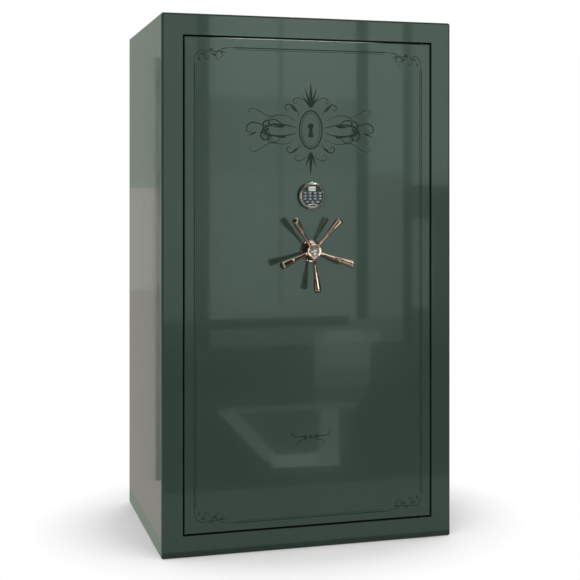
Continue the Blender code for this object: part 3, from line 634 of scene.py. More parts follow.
CREST_Z = 1.452
CREST_STROKES = (
    ((0.052, 0.006), 18, ((0.085, -3, -7), (0.06, -8, -36), (0.075, -40, -150)), 0.0062),
    ((0.05, -0.01), -24, ((0.07, 8, 4), (0.07, 6, 34), (0.062, 40, 150)), 0.0054),
    ((0.102, 0.012), 58, ((0.04, -14, -30), (0.052, -34, -150)), 0.0042),
    ((0.11, -0.026), -62, ((0.034, 16, 34), (0.048, 40, 160)), 0.0038),
    ((0.15, 0.008), 12, ((0.05, 10, -10), (0.05, -20, -60), (0.03, -70, -190)), 0.004),
    ((0.042, 0.046), 74, ((0.054, -6, -30), (0.052, -40, -160)), 0.0034),
    ((0.04, -0.052), -66, ((0.044, 10, 36), (0.05, 46, 170)), 0.0032),
    ((0.056, 0.03), 34, ((0.06, -4, -16), (0.06, -16, -8), (0.05, -30, -170)), 0.0024),
    ((0.056, -0.034), -34, ((0.056, 6, 18), (0.058, 16, 6), (0.046, 36, 180)), 0.0022),
    ((0.12, 0.052), -28, ((0.05, 16, 24), (0.05, 10, -30), (0.034, -60, -200)), 0.002),
    ((0.116, -0.052), 26, ((0.052, -18, -22), (0.052, -8, 34), (0.03, 60, 200)), 0.002),
    ((0.01, 0.088), 52, ((0.05, -8, -34), (0.042, -50, -190)), 0.0024),
    ((0.01, -0.088), -50, ((0.044, 8, 36), (0.038, 50, 190)), 0.0022),
)
CREST_LEAVES = (
    ((0.094, 0.012), -4, 0.046, 0.0105), ((0.09, -0.026), 2, 0.042, 0.0095),
    ((0.15, 0.004), -34, 0.04, 0.009), ((0.14, -0.024), 18, 0.036, 0.0085),
    ((0.052, 0.062), 44, 0.036, 0.008), ((0.05, -0.064), -42, 0.032, 0.0075),
    ((0.196, -0.01), -22, 0.036, 0.007),
)
UPPER_FAN = ((90, 0.092, 0.012), (73, 0.076, 0.009), (107, 0.076, 0.009), (55, 0.054, 0.007),
             (125, 0.054, 0.007))
LOWER_FAN = ((270, 0.084, 0.011), (250, 0.058, 0.008), (290, 0.058, 0.008))
CREST_FANS = [((0.0, z), *leaf) for z, fan in ((0.076, UPPER_FAN), (-0.076, LOWER_FAN)) for leaf in fan]
MEDALLION = ((0.041, 0.066, 0.0048), (0.033, 0.058, 0.0016))  # half width, half height, line
KEYHOLE_RADIUS = 0.0105


def add_crest():
    """A keyhole medallion between leafy scrolls, above the keypad."""
    crest = Painting()
    for side in (1, -1):
        crest.draw(CREST_STROKES, CREST_LEAVES, (0.0, CREST_Z), (side, 1))
    for i, (a, b, width) in enumerate(MEDALLION):
        oval = ellipse(a, b, 64, (0.0, CREST_Z))
        crest.stroke(oval, width, (i + 1) * OVER, swell=False, closed=True)
    keyhole = arc(KEYHOLE_RADIUS, KEYHOLE_RADIUS, math.radians(240), math.radians(-60), 20,
                  (0.0, CREST_Z + 0.012))
    keyhole += [(0.0095, CREST_Z - 0.026), (-0.0095, CREST_Z - 0.026)]
    crest.area(keyhole, 3 * OVER)
    crest.draw((), CREST_FANS, (0.0, CREST_Z), (1, 1))
    crest.finish("door_crest")


LOWER_MARK_Z = 0.385
MARK_STROKES = (
    ((0.004, 0.0), 20, ((0.04, -20, -4), (0.03, 20, 60), (0.016, 80, 240)), 0.003),
    ((0.004, -0.004), -30, ((0.026, 30, 10), (0.026, -20, -90), (0.014, -110, -260)), 0.0024),
)
MARK_LEAVES = [((0.012, 0.0), angle, length, 0.0046)
               for angle, length in ((34, 0.018), (-34, 0.016), (0, 0.024))]
MARK_DIAMOND = ((0.0, 0.009), (0.006, 0.0), (0.0, -0.009), (-0.006, 0.0))


def add_lower_mark():
    """A small pen flourish low on the door."""
    mark = Painting()
    for side in (1, -1):
        mark.draw(MARK_STROKES, MARK_LEAVES, (0.0, LOWER_MARK_Z), (side, 1))
    mark.area([(x, LOWER_MARK_Z + z) for x, z in MARK_DIAMOND], OVER)
    mark.finish("lower_mark")


# ---------------- handle

SPOKE_LEAN = math.radians(21.7)
SPOKE_OUT = 0.0236


def add_handle():
    """The hub with its bright cap, and five spokes."""
    at = outwards(HANDLE_AT)
    base = front_size("handle_hub")[0] / 2
    front, crown = front_out("handle_hub"), front_out("hub_cap")
    hub = rounded([
        (0.0, 0.0006, 0), (base, 0.0006, 0.0006), (base, 0.0036, 0.0012), (base - 0.0035, 0.0046, 0.001),
        (base - 0.005, 0.0096, 0.006), (0.029, 0.0155, 0.008), (0.0272, 0.025, 0.01),
        (0.0276, 0.033, 0.004), (0.0276, 0.0385, 0.004), (0.0256, front - 0.0006, 0.003),
        (0.0222, front, 0.002), (0.018, front - 0.001, 0.002), (0.0146, front - 0.0012, 0.0004),
        (0.0146, front - 0.003, 0.0003), (0.0, front - 0.003, 0)])
    add_turned("handle_hub_polished", "handle", "bronze", [at], (hub, 96), replaces=["handle_hub"])
    cap = rounded([
        (0.0, front - 0.0028, 0), (0.014, front - 0.0028, 0.0003), (0.014, front + 0.0004, 0.0012),
        (0.0118, front + 0.0016, 0.0012), (0.0112, front + 0.0008, 0.0006), (0.0104, front + 0.0016, 0.0008),
        (0.007, crown - 0.001, 0.004), (0.0, crown, 0)])
    add_turned("hub_cap_polished", "handle", "chrome", [at], (cap, 72), replaces=["hub_cap"])
    for index in range(1, 6):
        add_spoke(f"spoke_{index}")


def add_spoke(name):
    """One spoke: a slim neck, a ring, and a grip that swells to a rounded end."""
    aim = on_face(name) - HANDLE_AT
    along = aim.normalized() * math.cos(SPOKE_LEAN) - Y * math.sin(SPOKE_LEAN)
    at = Matrix.Translation(HANDLE_AT - Y * SPOKE_OUT) @ along.to_track_quat("Z", "Y").to_matrix().to_4x4()
    spoke = rounded([
        (0.0, 0.02, 0), (0.0066, 0.02, 0), (0.0066, 0.03, 0.003), (0.0055, 0.036, 0.006),
        (0.0056, 0.052, 0.03), (0.0066, 0.08, 0.02), (0.008, 0.0916, 0.004), (0.0078, 0.0928, 0.0006),
        (0.0096, 0.0938, 0.0008), (0.01, 0.0966, 0.001), (0.0092, 0.099, 0.0008),
        (0.009, 0.1, 0.0006), (0.0104, 0.112, 0.05), (0.0118, 0.133, 0.03), (0.0124, 0.14, 0.004),
        (0.0125, 0.1434, 0.003), (0.0112, 0.1466, 0.0026), (0.006, 0.1474, 0.004), (0.0, 0.1476, 0)], 6)
    add_turned(f"{name}_polished", "handle", "bronze", [at], (spoke, 56), replaces=[name])


# ---------------- keypad

def add_keypad():
    """The round keypad: housing, ring with its pointer, display, keys and battery cover."""
    at = outwards(KEYPAD_AT)
    housing = rounded([
        (0.0, 0.0003, 0), (0.0452, 0.0003, 0.0004), (0.0455, 0.006, 0.002), (0.0453, 0.0119, 0.0004),
        (0.0386, 0.012, 0.0002), (0.0386, FACE_OUT - 0.0004, 0.0004), (0.0382, FACE_OUT, 0.0004),
        (0.0, FACE_OUT, 0)])
    add_turned("keypad_body", "door", "face", [at], (housing, 96), replaces=["keypad_housing"])

    ring = rounded([
        (0.0389, 0.0124, 0.0004), (0.0466, 0.0124, 0.0006), (0.0465, 0.0142, 0.0012),
        (0.0438, 0.0184, 0.008), (0.0406, front_out("keypad_bezel"), 0.0014), (0.0396, 0.0218, 0.0008),
        (0.0389, 0.0202, 0.001)], 6, closed=True)
    pointer = [(-0.0066, 0.043), (0.0066, 0.043), (0.0036, 0.0474), (0.001, 0.0502), (-0.001, 0.0502),
               (-0.0036, 0.0474)]
    bm = bmesh.new()
    lathe(bm, at, ring, 120, ring=True)
    sheet_solid(bm, at, pointer, 0.013, 0.0178, inset=0.0014)
    add_piece("keypad_ring", bm, "door", ["nickel"], ["keypad_bezel"])
    add_display()
    for name in (n for n in frame["nodes"] if n.startswith("key_")):
        add_key(name)
    add_battery_cover()


DIGIT_XS = (-0.0081, -0.0031, 0.0031, 0.0081)
DIGIT_W, DIGIT_H, SEGMENT = 0.003, 0.0058, 0.00042
SEGMENT_GAP = 0.001


def add_display():
    """The lit panel and four faint figures of seven segments each."""
    at = outwards(on_face("display_lens"))
    bm = bmesh.new()
    window = rounded([(*corner, 0.0016) for corner in rectangle(0.0, 0.0, *front_size("display_lens"))],
                     closed=True)
    sheet_solid(bm, at, window, FACE_OUT + 0.0001, FACE_OUT + 0.0013, inset=0.0004)
    add_piece("display_panel", bm, "door", ["lcd"], ["display_lens"])

    bm = bmesh.new()
    for x in DIGIT_XS:
        bars = [(x, level * DIGIT_H / 2, DIGIT_W - SEGMENT_GAP, SEGMENT) for level in (-1, 0, 1)]
        bars += [(x + side * DIGIT_W / 2, level * DIGIT_H / 4, SEGMENT, DIGIT_H / 2 - SEGMENT_GAP)
                 for side in (-1, 1) for level in (-1, 1)]
        for bar in bars:
            sheet_solid(bm, at, rectangle(*bar), FACE_OUT + 0.001, FACE_OUT + 0.00142)
    add_piece("display_segments", bm, "door", ["ink"])


# What is printed on a key: a character, or an outline about the key's centre.
SYMBOLS = {"key_star": "*", "key_hash": "#", **{f"key_{digit}": str(digit) for digit in range(10)}}
OUTLINES = {"key_up": [(-0.0022, -0.0012), (0.0022, -0.0012), (0.0, 0.0016)],
            "key_down": [(-0.0022, 0.0012), (0.0, -0.0016), (0.0022, 0.0012)],
            "key_enter": ellipse(0.0012, 0.0012, 20)}
PRINT_T = 0.00008


def printed(character):
    """The flat mesh of one character."""
    curve = setup(bpy.data.curves.new("mark", "FONT"), body=character, size=0.0064, extrude=PRINT_T,
                  align_x="CENTER", align_y="CENTER", resolution_u=3)
    text = link_object("mark", curve)
    bpy.context.view_layer.update()
    mesh = bpy.data.meshes.new_from_object(text.evaluated_get(bpy.context.evaluated_depsgraph_get()))
    bpy.data.objects.remove(text)
    return mesh


def add_key(name):
    """A pill-shaped key with a mark on it."""
    top, foot = front_out(name), FACE_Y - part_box(name)[1].y
    at = outwards(on_face(name))
    bm = bmesh.new()
    sheet_solid(bm, at, stadium(*front_size(name)), foot, top, inset=0.0012)
    if name in SYMBOLS:
        mark = printed(SYMBOLS[name])
        mark.transform(at @ Matrix.Translation((0, 0, top)))
        first = len(bm.faces)
        bm.from_mesh(mark)
        bm.faces.ensure_lookup_table()
        for face in bm.faces[first:]:
            face.material_index = 1
    else:
        sheet_solid(bm, at, OUTLINES[name], top - PRINT_T, top + PRINT_T, index=1)
    add_piece(f"{name}_cap", bm, name, ["key", "print"], [name])


COVER_EDGE, COVER_ARC, COVER_ARC_Z = 0.0382, 0.04, -0.0672


def cover_lens(shrink, steps=20):
    """Outline between the keypad's round edge and an arc about a point below it, drawn in by shrink."""
    outer, inner = COVER_EDGE - shrink, COVER_ARC - shrink
    z = (inner ** 2 - outer ** 2 - COVER_ARC_Z ** 2) / (-2 * COVER_ARC_Z)
    x = math.sqrt(outer ** 2 - z ** 2)
    start, end = math.atan2(z, x), math.atan2(z - COVER_ARC_Z, x)
    upper = arc(inner, inner, end, math.pi - end, steps, (0.0, COVER_ARC_Z))
    return arc(outer, outer, -math.pi - start, start, steps) + upper[1:-1]


def add_battery_cover():
    """Lens-shaped cover at the keypad's foot: a bright rim round a dark inset."""
    top, foot = front_out("battery_cover"), FACE_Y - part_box("battery_cover")[1].y
    at = outwards(KEYPAD_AT)
    bm = bmesh.new()
    sheet_solid(bm, at, cover_lens(0.0), foot, top, inset=0.0009)
    sheet_solid(bm, at, cover_lens(0.0024), top - 0.0006, top + 0.0002, inset=0.0002, index=1)
    add_piece("battery_cover_rim", bm, "battery_cover", ["nickel", "face"], ["battery_cover"])


# ---------------- carried-over steel and board

FINISH_OF_SLOT = {
    "cabinet_paint": "enamel", "door_paint": "enamel", "fireboard": "board", "lining_fabric": "lining",
    "carpeted_board": "carpet", "panel_fabric": "panel", "pocket_fabric": "pack", "zinc_steel": "zinc",
    "bright_steel": "bright_steel", "boltwork_steel": "tray", "hardened_steel": "hard",
    "black_chrome": "bronze", "bright_chrome": "chrome", "black_plastic": "outlet", "key_rubber": "key",
    "display_glass": "lcd", "seal_strip": "seal", "bronze_bush": "bush", "light_diffuser": "diffuser",
}
HINGES = ("hinge_bracket_top", "hinge_bracket_bottom", "hinge_arm_top", "hinge_arm_bottom")
BOARDS = ("centre_divider", "top_shelf", "shelf_upper", "shelf_lower", "barrel_rack")
BARS = ("left_bar", "right_bar", "top_bar", "bottom_bar")
EDGE_RADIUS = {**dict.fromkeys(BOARDS, 0.003), **dict.fromkeys(BARS, 0.0008),
               **dict.fromkeys(HINGES, 0.001), "door_box": 0.0006}


def finish_cad_nodes():
    """Gives every carried-over node its finish, soft edges and clean shading, the hinges a dark one as
    painted shade in the door's gap.
    """
    slots = {entry["node"]: entry["material_slot"] for entry in frame["record"]["subparts"]}
    for name, node in frame["nodes"].items():
        node.data.materials.clear()
        # painted shade: the hinges get dark hardened steel in place of their zinc plate, so the gap round the
        # door stays dark
        node.data.materials.append(LOOKS["hard" if name in HINGES else FINISH_OF_SLOT[slots[name]]])
        for face in node.data.polygons:
            face.use_smooth = True
        setup(node.modifiers.new("weld", "WELD"), merge_threshold=0.00001)
        if name in EDGE_RADIUS:
            setup(node.modifiers.new("soft edges", "BEVEL"), width=EDGE_RADIUS[name], segments=3,
                  limit_method="ANGLE", angle_limit=math.radians(40), use_clamp_overlap=False)
        setup(node.modifiers.new("crisp edges", "EDGE_SPLIT"), split_angle=math.radians(38))
        setup(node.modifiers.new("even shading", "WEIGHTED_NORMAL"), keep_sharp=True, weight=100)


# ---------------- lining and padded boards

def rim_steps(length, cell, radius):
    """Places along a padded side: close together over the rounded rim and even between."""
    count = max(1, round((length - 2 * radius) / cell))
    rim = [radius * t for t in (0.0, 0.08, 0.3, 0.65)]
    middle = [radius + (length - 2 * radius) * i / count for i in range(count + 1)]
    return rim + middle + [length - r for r in reversed(rim)]


def padded(bm, corner, u, v, out, size, thick, cell, radius, dent, seed):
    """A closed padded board: its back is flat, its rim rounded and its front slightly uneven.

    corner is on the back, u and v run along its sides and out points to the front.
    """
    def front_at(a, b):
        edge = min(a, b, size[0] - a, size[1] - b)
        drop = radius - math.sqrt(max(0.0, radius ** 2 - (radius - edge) ** 2)) if edge < radius else 0.0
        here = Vector(corner) + u * a + v * b
        sway = noise.noise(here * 9.0 + Vector((seed, 0, 0))) + 0.5 * noise.noise(here * 31.0)
        return here + out * (thick - drop - dent * (0.75 + 0.5 * sway))

    columns, levels = (rim_steps(length, cell, radius) for length in size)
    front = skin(bm, [[front_at(a, b) for b in levels] for a in columns], around=False, caps=False)
    ring = [row[0] for row in front] + front[-1][1:]
    ring += [row[-1] for row in front[-2::-1]] + front[0][-2:0:-1]
    back = [bm.verts.new(vert.co - out * (vert.co - Vector(corner)).dot(out)) for vert in ring]
    bridge(bm, [ring, back], caps=False)
    bm.faces.new(back)


def rect_frame(bm, low, high, profile, y):
    """A mitred frame: a closed profile of (inwards, along +Y) points carried round a box's outline."""
    corners = ((low.x, low.z, 1, 1), (high.x, low.z, -1, 1), (high.x, high.z, -1, -1), (low.x, high.z, 1, -1))
    rows = [[(x + side * a, y + b, z + rise * a) for a, b in profile] for x, z, side, rise in corners]
    skin(bm, rows, loop=True, caps=False)


LINER_T = 0.0425  # from the lip's outer edge to the room: fireboard and its lining
LINING_T = 0.0037
LIP_T = 0.004
PANEL_GAP = 0.0005
BACK_SEAM = 0.53
PLUG_XS = (-0.38, 0.38)
PLUG_DEPTHS = (0.24, 0.56)


def add_lining():
    """Carpet-faced panels on the fireboard, with a wrapped lip round the door opening."""
    low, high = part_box("interior_lining")
    bm = bmesh.new()
    lip = rounded([(0.0, LIP_T, 0), (0.0, 0.0002, 0.0008), (LINER_T - 0.0002, 0.0, 0.0032),
                   (LINER_T - 0.0002, LIP_T, 0)], 5, closed=True)
    rect_frame(bm, low, high, lip, low.y)
    x0, x1, z0, z1 = low.x + LINER_T, high.x - LINER_T, low.z + LINER_T, high.z - LINER_T
    front = low.y + LIP_T + 0.0004
    depth, width, height = high.y - LINING_T - front, x1 - x0, z1 - z0 - 2 * PANEL_GAP
    foot = z0 + PANEL_GAP
    panels = (((x0 - LINING_T, front, foot), Y, Z, X, (depth, height)),
              ((x1 + LINING_T, front, foot), Y, Z, -X, (depth, height)),
              ((x0, front, z0 - LINING_T), X, Y, Z, (width, depth)),
              ((x0, front, z1 + LINING_T), X, Y, -Z, (width, depth)),
              ((x0, high.y, foot), X, Z, -Y, (BACK_SEAM - PANEL_GAP, height)),
              ((x0 + BACK_SEAM, high.y, foot), X, Z, -Y, (width - BACK_SEAM, height)))
    for number, panel in enumerate(panels):
        padded(bm, *panel, LINING_T, cell=0.03, radius=0.0022, dent=0.0004, seed=number * 3.7)
    add_piece("lining_panels", bm, "cabinet", ["lining"], ["interior_lining"], 50)

    plug = rounded([(0.0, 0.0, 0), (0.014, 0.0, 0.0005), (0.014, 0.0022, 0.0014), (0.006, 0.003, 0.002),
                    (0.0, 0.0031, 0)])
    frames = [Matrix.Translation((x, FACE_Y + depth, z0 - 0.0004)) for x in PLUG_XS for depth in PLUG_DEPTHS]
    add_turned("anchor_plugs", "cabinet", "black", frames, (plug, 32))


# ---------------- door's back and organiser

# Rows of pockets: low edge, height, how many, how far they stand out.
POCKET_ROWS = ((1.33, 0.25, 4, 0.018), (0.9, 0.33, 3, 0.026), (0.54, 0.26, 3, 0.022),
               (0.2, 0.28, 2, 0.03))
POCKET_SPAN = 0.37
POCKET_GAP = 0.02
HEM_OVERHANG = 0.004
CLOTH_CELL = 0.0075
CLOTH_FRAMES = 32
BACKING_T = 0.002
CLOTH_OUT = 0.0012
SEAM_INSET = 0.0088
SEAM_SIDES = (-0.0065, 0.0065)


def pocket_places():
    """(left, right, low, high, bulge) of every pocket on the organiser."""
    for low, height, count, bulge in POCKET_ROWS:
        pitch = 2 * POCKET_SPAN / count
        for i in range(count):
            left = -POCKET_SPAN + i * pitch + POCKET_GAP / 2
            yield left, left + pitch - POCKET_GAP, low, low + height, bulge


def pocket_grid(bm, pins, place, base_y, seed):
    """The uncut cloth of one pocket, sewn down at its sides and foot and open at its top."""
    left, right, low, high, bulge = place
    columns, levels = round((right - left) / CLOTH_CELL), round((high - low) / CLOTH_CELL)
    rows = []
    for j in range(levels + 1):
        v = j / levels
        row = []
        for i in range(columns + 1):
            u = i / columns
            side = math.sin(math.pi * u) ** 0.55 if 0 < u < 1 else 0.0
            foot = min(1.0, v / 0.1) ** 0.5
            wave = 1 + 0.22 * noise.noise(Vector((u * 3.1 + seed, v * 2.3, seed)))
            out = bulge * 0.75 * side * foot * (1 - 0.42 * v) * wave
            row.append(bm.verts.new((left + (right - left) * u, base_y + out, low + (high - low) * v)))
            if i in (0, columns) or j == 0:
                pins.append(row[-1])
        rows.append(row)
    for low_row, high_row in zip(rows, rows[1:]):
        for i in range(columns):
            bm.faces.new([low_row[i], high_row[i], high_row[i + 1], low_row[i + 1]])
    return rows[-1]


def drape(cloth, wall, pins, hems):
    """Lets the pockets sag and crease under their own weight against the wall behind them."""
    cloth.vertex_groups.new(name="sewn").add(pins, 1.0, "REPLACE")
    cloth.vertex_groups.new(name="elastic").add(hems, 1.0, "REPLACE")
    step = cloth.modifiers.new("cloth", "CLOTH")
    setup(step.settings, quality=5, mass=0.12, air_damping=3.0, tension_stiffness=24,
          compression_stiffness=24, shear_stiffness=14, bending_stiffness=4.0, vertex_group_mass="sewn",
          pin_stiffness=1.0, vertex_group_shrink="elastic", shrink_min=-0.035, shrink_max=0.03,
          use_pressure=True, uniform_pressure_force=0.35)
    setup(step.collision_settings, use_collision=True, distance_min=0.0012, use_self_collision=False)
    wall.modifiers.new("collision", "COLLISION")
    wall.collision.thickness_outer = 0.001
    setup(step.point_cache, frame_start=1, frame_end=CLOTH_FRAMES)
    for number in range(1, CLOTH_FRAMES + 1):
        bpy.context.scene.frame_set(number)
    settled = bpy.data.meshes.new_from_object(cloth.evaluated_get(bpy.context.evaluated_depsgraph_get()))
    bpy.context.scene.frame_set(1)
    return settled


def add_pockets(low, high, base_y):
    """The draped pocket fronts. Gives back every pocket's place with the points of its open edge."""
    places = list(pocket_places())
    bm = bmesh.new()
    pins = []
    tops = [pocket_grid(bm, pins, place, base_y + CLOTH_OUT, i * 1.7 + 0.3) for i, place in enumerate(places)]
    bm.verts.index_update()
    pins = [v.index for v in pins]
    hems = [[v.index for v in top] for top in tops]
    cloth = link_mesh("pocket_cloth", bm)
    bm = bmesh.new()
    y = base_y - 0.0002
    bm.faces.new([bm.verts.new((x, y, z)) for x, z in ((low.x, low.z), (low.x, high.z), (high.x, high.z),
                                                       (high.x, low.z))])
    wall = link_mesh("backing_guide", bm)
    settled = drape(cloth, wall, pins, [i for hem in hems for i in hem])
    bpy.data.objects.remove(cloth)
    bpy.data.objects.remove(wall)

    settled.materials.clear()
    settled.materials.append(LOOKS["pack"])
    settled.shade_smooth()
    pockets = link_object("pocket_fronts", settled)
    setup(pockets.modifiers.new("soft", "SUBSURF"), levels=1, render_levels=1)
    setup(pockets.modifiers.new("cloth thickness", "SOLIDIFY"), thickness=0.0011, offset=0.0)
    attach(pockets, "door")
    return [(place, [settled.vertices[i].co.copy() for i in hem]) for place, hem in zip(places, hems)]


TAPE_SECTION = ((-0.5, 0.0), (-0.47, 0.55), (-0.36, 0.9), (0.0, 1.0), (0.36, 0.9), (0.47, 0.55), (0.5, 0.0))
HEM_SECTION = ((0.0014, -0.011), (0.0017, -0.006), (0.0019, 0.0004), (0.0012, 0.0018), (-0.0012, 0.0018),
               (-0.0014, 0.0004), (-0.0012, -0.0108))
BINDING_SECTION = ((-0.0004, 0.0002), (0.0008, 0.0034), (0.005, 0.004), (0.01, 0.0037), (0.0116, 0.0022),
                   (0.0116, 0.0012), (0.0004, 0.0002))


def tape(bm, points, width, thick):
    """A soft folded tape along points: a rounded flat band that stands out by thick."""
    rows = []
    for i, point in enumerate(points):
        along = (points[min(i + 1, len(points) - 1)] - points[max(i - 1, 0)]).normalized()
        across = along.cross(Y).normalized()
        rows.append([point + across * a * width + Y * h * thick for a, h in TAPE_SECTION])
    skin(bm, rows)


def stitches(bm, points, lift, pitch=0.0042, length=0.0028, radius=0.00032):
    """Short threads laid end to end along points."""
    travelled, target = 0.0, pitch / 2
    for start, end in zip(points, points[1:]):
        span = (end - start).length
        while span > 0 and travelled + span >= target:
            centre = start.lerp(end, (target - travelled) / span) + Y * lift
            along = (end - start).normalized()
            across = along.cross(Y).normalized()
            skin(bm, [[centre + along * length * t + (across * p.x + Y * p.y) * radius
                       for p in arc(r, r, math.pi / 4, 7 * math.pi / 4, 3)]
                      for t, r in ((-0.5, 0.25), (-0.3, 1.0), (0.3, 1.0), (0.5, 0.25))])
            target += pitch
        travelled += span


def trim_pockets(tapes, threads, pockets, base_y):
    """Bound hems along the pockets' open edges and tape along their feet and sides."""
    for (left, right, bottom, _top, _bulge), hem in pockets:
        edge = [point + Z * 0.001 for point in hem]
        edge = [edge[0] - X * HEM_OVERHANG] + edge + [edge[-1] + X * HEM_OVERHANG]
        skin(tapes, [[point + Y * a + Z * b for a, b in HEM_SECTION] for point in edge])
        stitches(threads, [p - Z * 0.0085 + Y * 0.0019 for p in edge[1:-1]], lift=0.0002)
        foot = [Vector((x, base_y, bottom)) for x in (left - HEM_OVERHANG, right + HEM_OVERHANG)]
        tape(tapes, foot, width=0.012, thick=0.0022)
        stitches(threads, foot, lift=0.0024)
    for low, height, count, _bulge in POCKET_ROWS:
        for i in range(count + 1):
            x = -POCKET_SPAN + 2 * POCKET_SPAN * i / count
            seam = [Vector((x, base_y, low - 0.008)), Vector((x, base_y, low + height + 0.012))]
            tape(tapes, seam, width=POCKET_GAP + 0.004 if 0 < i < count else 0.016, thick=0.0026)
            for side in SEAM_SIDES:
                stitches(threads, [p + X * side for p in seam], lift=0.0026)


WEBBING_Z = 1.628
WEBBING_LOOPS = 10
LOOP_STEPS = 8
LOOP_RISE = 0.0045
TACK_REACH = 0.011


def add_webbing(tapes, threads, base_y):
    """A strap across the organiser's head, tacked down into loops."""
    pitch = 2 * POCKET_SPAN / WEBBING_LOOPS
    points = []
    for i in range(WEBBING_LOOPS * LOOP_STEPS + 1):
        turn = i / LOOP_STEPS
        rise = abs(math.sin(math.pi * turn)) * LOOP_RISE
        points.append(Vector((-POCKET_SPAN + pitch * turn, base_y + rise, WEBBING_Z)))
    tape(tapes, points, width=0.025, thick=0.0016)
    for i in range(WEBBING_LOOPS + 1):
        tack = [Vector((-POCKET_SPAN + pitch * i, base_y + 0.0016, z))
                for z in (WEBBING_Z - TACK_REACH, WEBBING_Z + TACK_REACH)]
        stitches(threads, tack, lift=0.0004, pitch=0.0022, length=0.0018, radius=0.0005)


EYELET_INSET = 0.0235
EYELET_XS = (-0.24, 0.0, 0.24)


def add_eyelets(low, high, base_y):
    """Bright eyelets with screws round the organiser's edge, wherever no pocket is in the way."""
    ring = rounded([(0.0036, 0.0, 0.0002), (0.008, 0.0, 0.0004), (0.008, 0.0012, 0.0008),
                    (0.0052, 0.0022, 0.001), (0.0036, 0.0014, 0.0006)], 4, closed=True)
    screw = rounded([(0.0, 0.0, 0), (0.0034, 0.0, 0), (0.0034, 0.0012, 0.0008), (0.0018, 0.0021, 0.0012),
                     (0.0, 0.0022, 0)])
    spots = [(x, z) for x in (low.x + EYELET_INSET, high.x - EYELET_INSET)
             for z in evenly(low.z + 0.024, high.z - 0.024, 6)
             if not any(foot - 0.012 < z < foot + height + 0.016 for foot, height, _, _ in POCKET_ROWS)]
    spots += [(x, z) for x in EYELET_XS for z in (low.z + 0.0185, high.z - 0.0185)]
    frames = [inwards(x, base_y, z) for x, z in spots]
    add_turned("organiser_eyelets", "door", "zinc", frames, (ring, 32, True), (screw, 24))


def add_organiser():
    """Pocket organiser on the door's panel: padded backing, sewn pockets, tapes, stitching and eyelets."""
    low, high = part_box("door_pockets")
    base_y = low.y + BACKING_T
    width, height = front_size("door_pockets")
    bm = bmesh.new()
    padded(bm, low, X, Z, Y, (width, height), BACKING_T + 0.0001, cell=0.018, radius=0.0012, dent=0.00025,
           seed=5.0)
    add_piece("organiser_back", bm, "door", ["pack"], ["door_pockets"], 50)

    tapes, threads = bmesh.new(), bmesh.new()
    trim_pockets(tapes, threads, add_pockets(low, high, base_y), base_y)
    rect_frame(tapes, low, high, BINDING_SECTION, low.y - 0.0001)
    middle = (low + high) / 2
    seam = rectangle(middle.x, middle.z, width - 2 * SEAM_INSET, height - 2 * SEAM_INSET)
    stitches(threads, [Vector((x, base_y, z)) for x, z in seam + seam[:1]], lift=0.0019)
    add_webbing(tapes, threads, base_y)
    add_piece("organiser_tapes", tapes, "door", ["binding"], sharp=60)
    add_piece("organiser_stitching", threads, "door", ["thread"], sharp=60)
    add_eyelets(low, high, base_y)


TRIM_INSET_X, TRIM_INSET_Z = 0.019, 0.03
TRIM_XS = (-0.2, 0.2)


def add_door_back():
    """Cloth-covered panel over the boltwork, with its trim screws."""
    low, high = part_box("door_panel")
    size = front_size("door_panel")
    bm = bmesh.new()
    padded(bm, low, X, Z, Y, size, high.y - low.y, cell=0.022, radius=0.0032, dent=0.0003, seed=11.0)
    add_piece("door_back_panel", bm, "door", ["panel"], ["door_panel"], 50)

    washer = rounded([(0.0, 0.0, 0), (0.0075, 0.0, 0.0002), (0.0072, 0.0008, 0.0006),
                      (0.004, 0.0017, 0.0006), (0.0036, 0.0024, 0.0008), (0.002, 0.003, 0.001),
                      (0.0016, 0.003, 0.0002), (0.0014, 0.0018, 0.0002), (0.0, 0.0018, 0)])
    heights = evenly(low.z + TRIM_INSET_Z, high.z - TRIM_INSET_Z, 6)
    spots = [(x, z) for x in (low.x + TRIM_INSET_X, high.x - TRIM_INSET_X) for z in heights]
    spots += [(x, z) for x in TRIM_XS for z in (heights[0], heights[-1])]
    frames = [inwards(x, high.y - 0.0004, z) for x, z in spots]
    add_turned("panel_screws", "door", "zinc", frames, (washer, 28))


SOCKET_XS = (-0.026, 0.026)
SOCKET_SLOTS = ((-0.005, 0.003, 0.0018, 0.0072), (0.005, 0.003, 0.0018, 0.0084),
                (0.0, -0.0065, 0.0042, 0.004))
OUTLET_SCREW_ZS = (-0.0235, 0.0235)


def add_outlet_details():
    """Contact slots and screws of the mains outlet."""
    low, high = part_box("power_outlet")
    at = outwards(Vector(((low.x + high.x) / 2, low.y, (low.z + high.z) / 2)))
    bm = bmesh.new()
    for middle in SOCKET_XS:
        for x, z, width, height in SOCKET_SLOTS:
            sheet_solid(bm, at, rectangle(middle + x, z, width, height), -0.0068, -0.0055, inset=0.0003)
    screw = rounded([(0.0, -0.0002, 0), (0.003, -0.0002, 0), (0.003, 0.0006, 0.0005), (0.0, 0.001, 0)])
    for z in OUTLET_SCREW_ZS:
        lathe(bm, at @ Matrix.Translation((0, z, 0)), screw, 24)
    add_piece("outlet_details", bm, "cabinet", ["zinc"])


# ---------------- studio

LENS = 67.9
SHIFT = {"shift_x": 0.1033, "shift_y": -0.1805}
EYE = Vector((-1.203, -3.968, 1.259))
EYE_TURN = math.radians(-14.17)


def add_camera():
    """A level eye, its lens shifted down and to the right for the view from its own place only."""
    data = setup(bpy.data.cameras.new("eye"), lens=LENS, sensor_width=36.0)
    camera = setup(link_object("eye", data), location=EYE, rotation_euler=(math.pi / 2, 0, EYE_TURN))
    bpy.context.scene.camera = camera
    for path, amount in SHIFT.items():
        setattr(data, path, amount)
        driver = data.driver_add(path).driver
        place = driver.variables.new()
        place.name = "x"
        setup(place.targets[0], id=camera, data_path="location[0]")
        driver.type = "SCRIPTED"
        driver.expression = f"{amount} if abs(x - {EYE.x:.3f}) < 0.001 else 0.0"


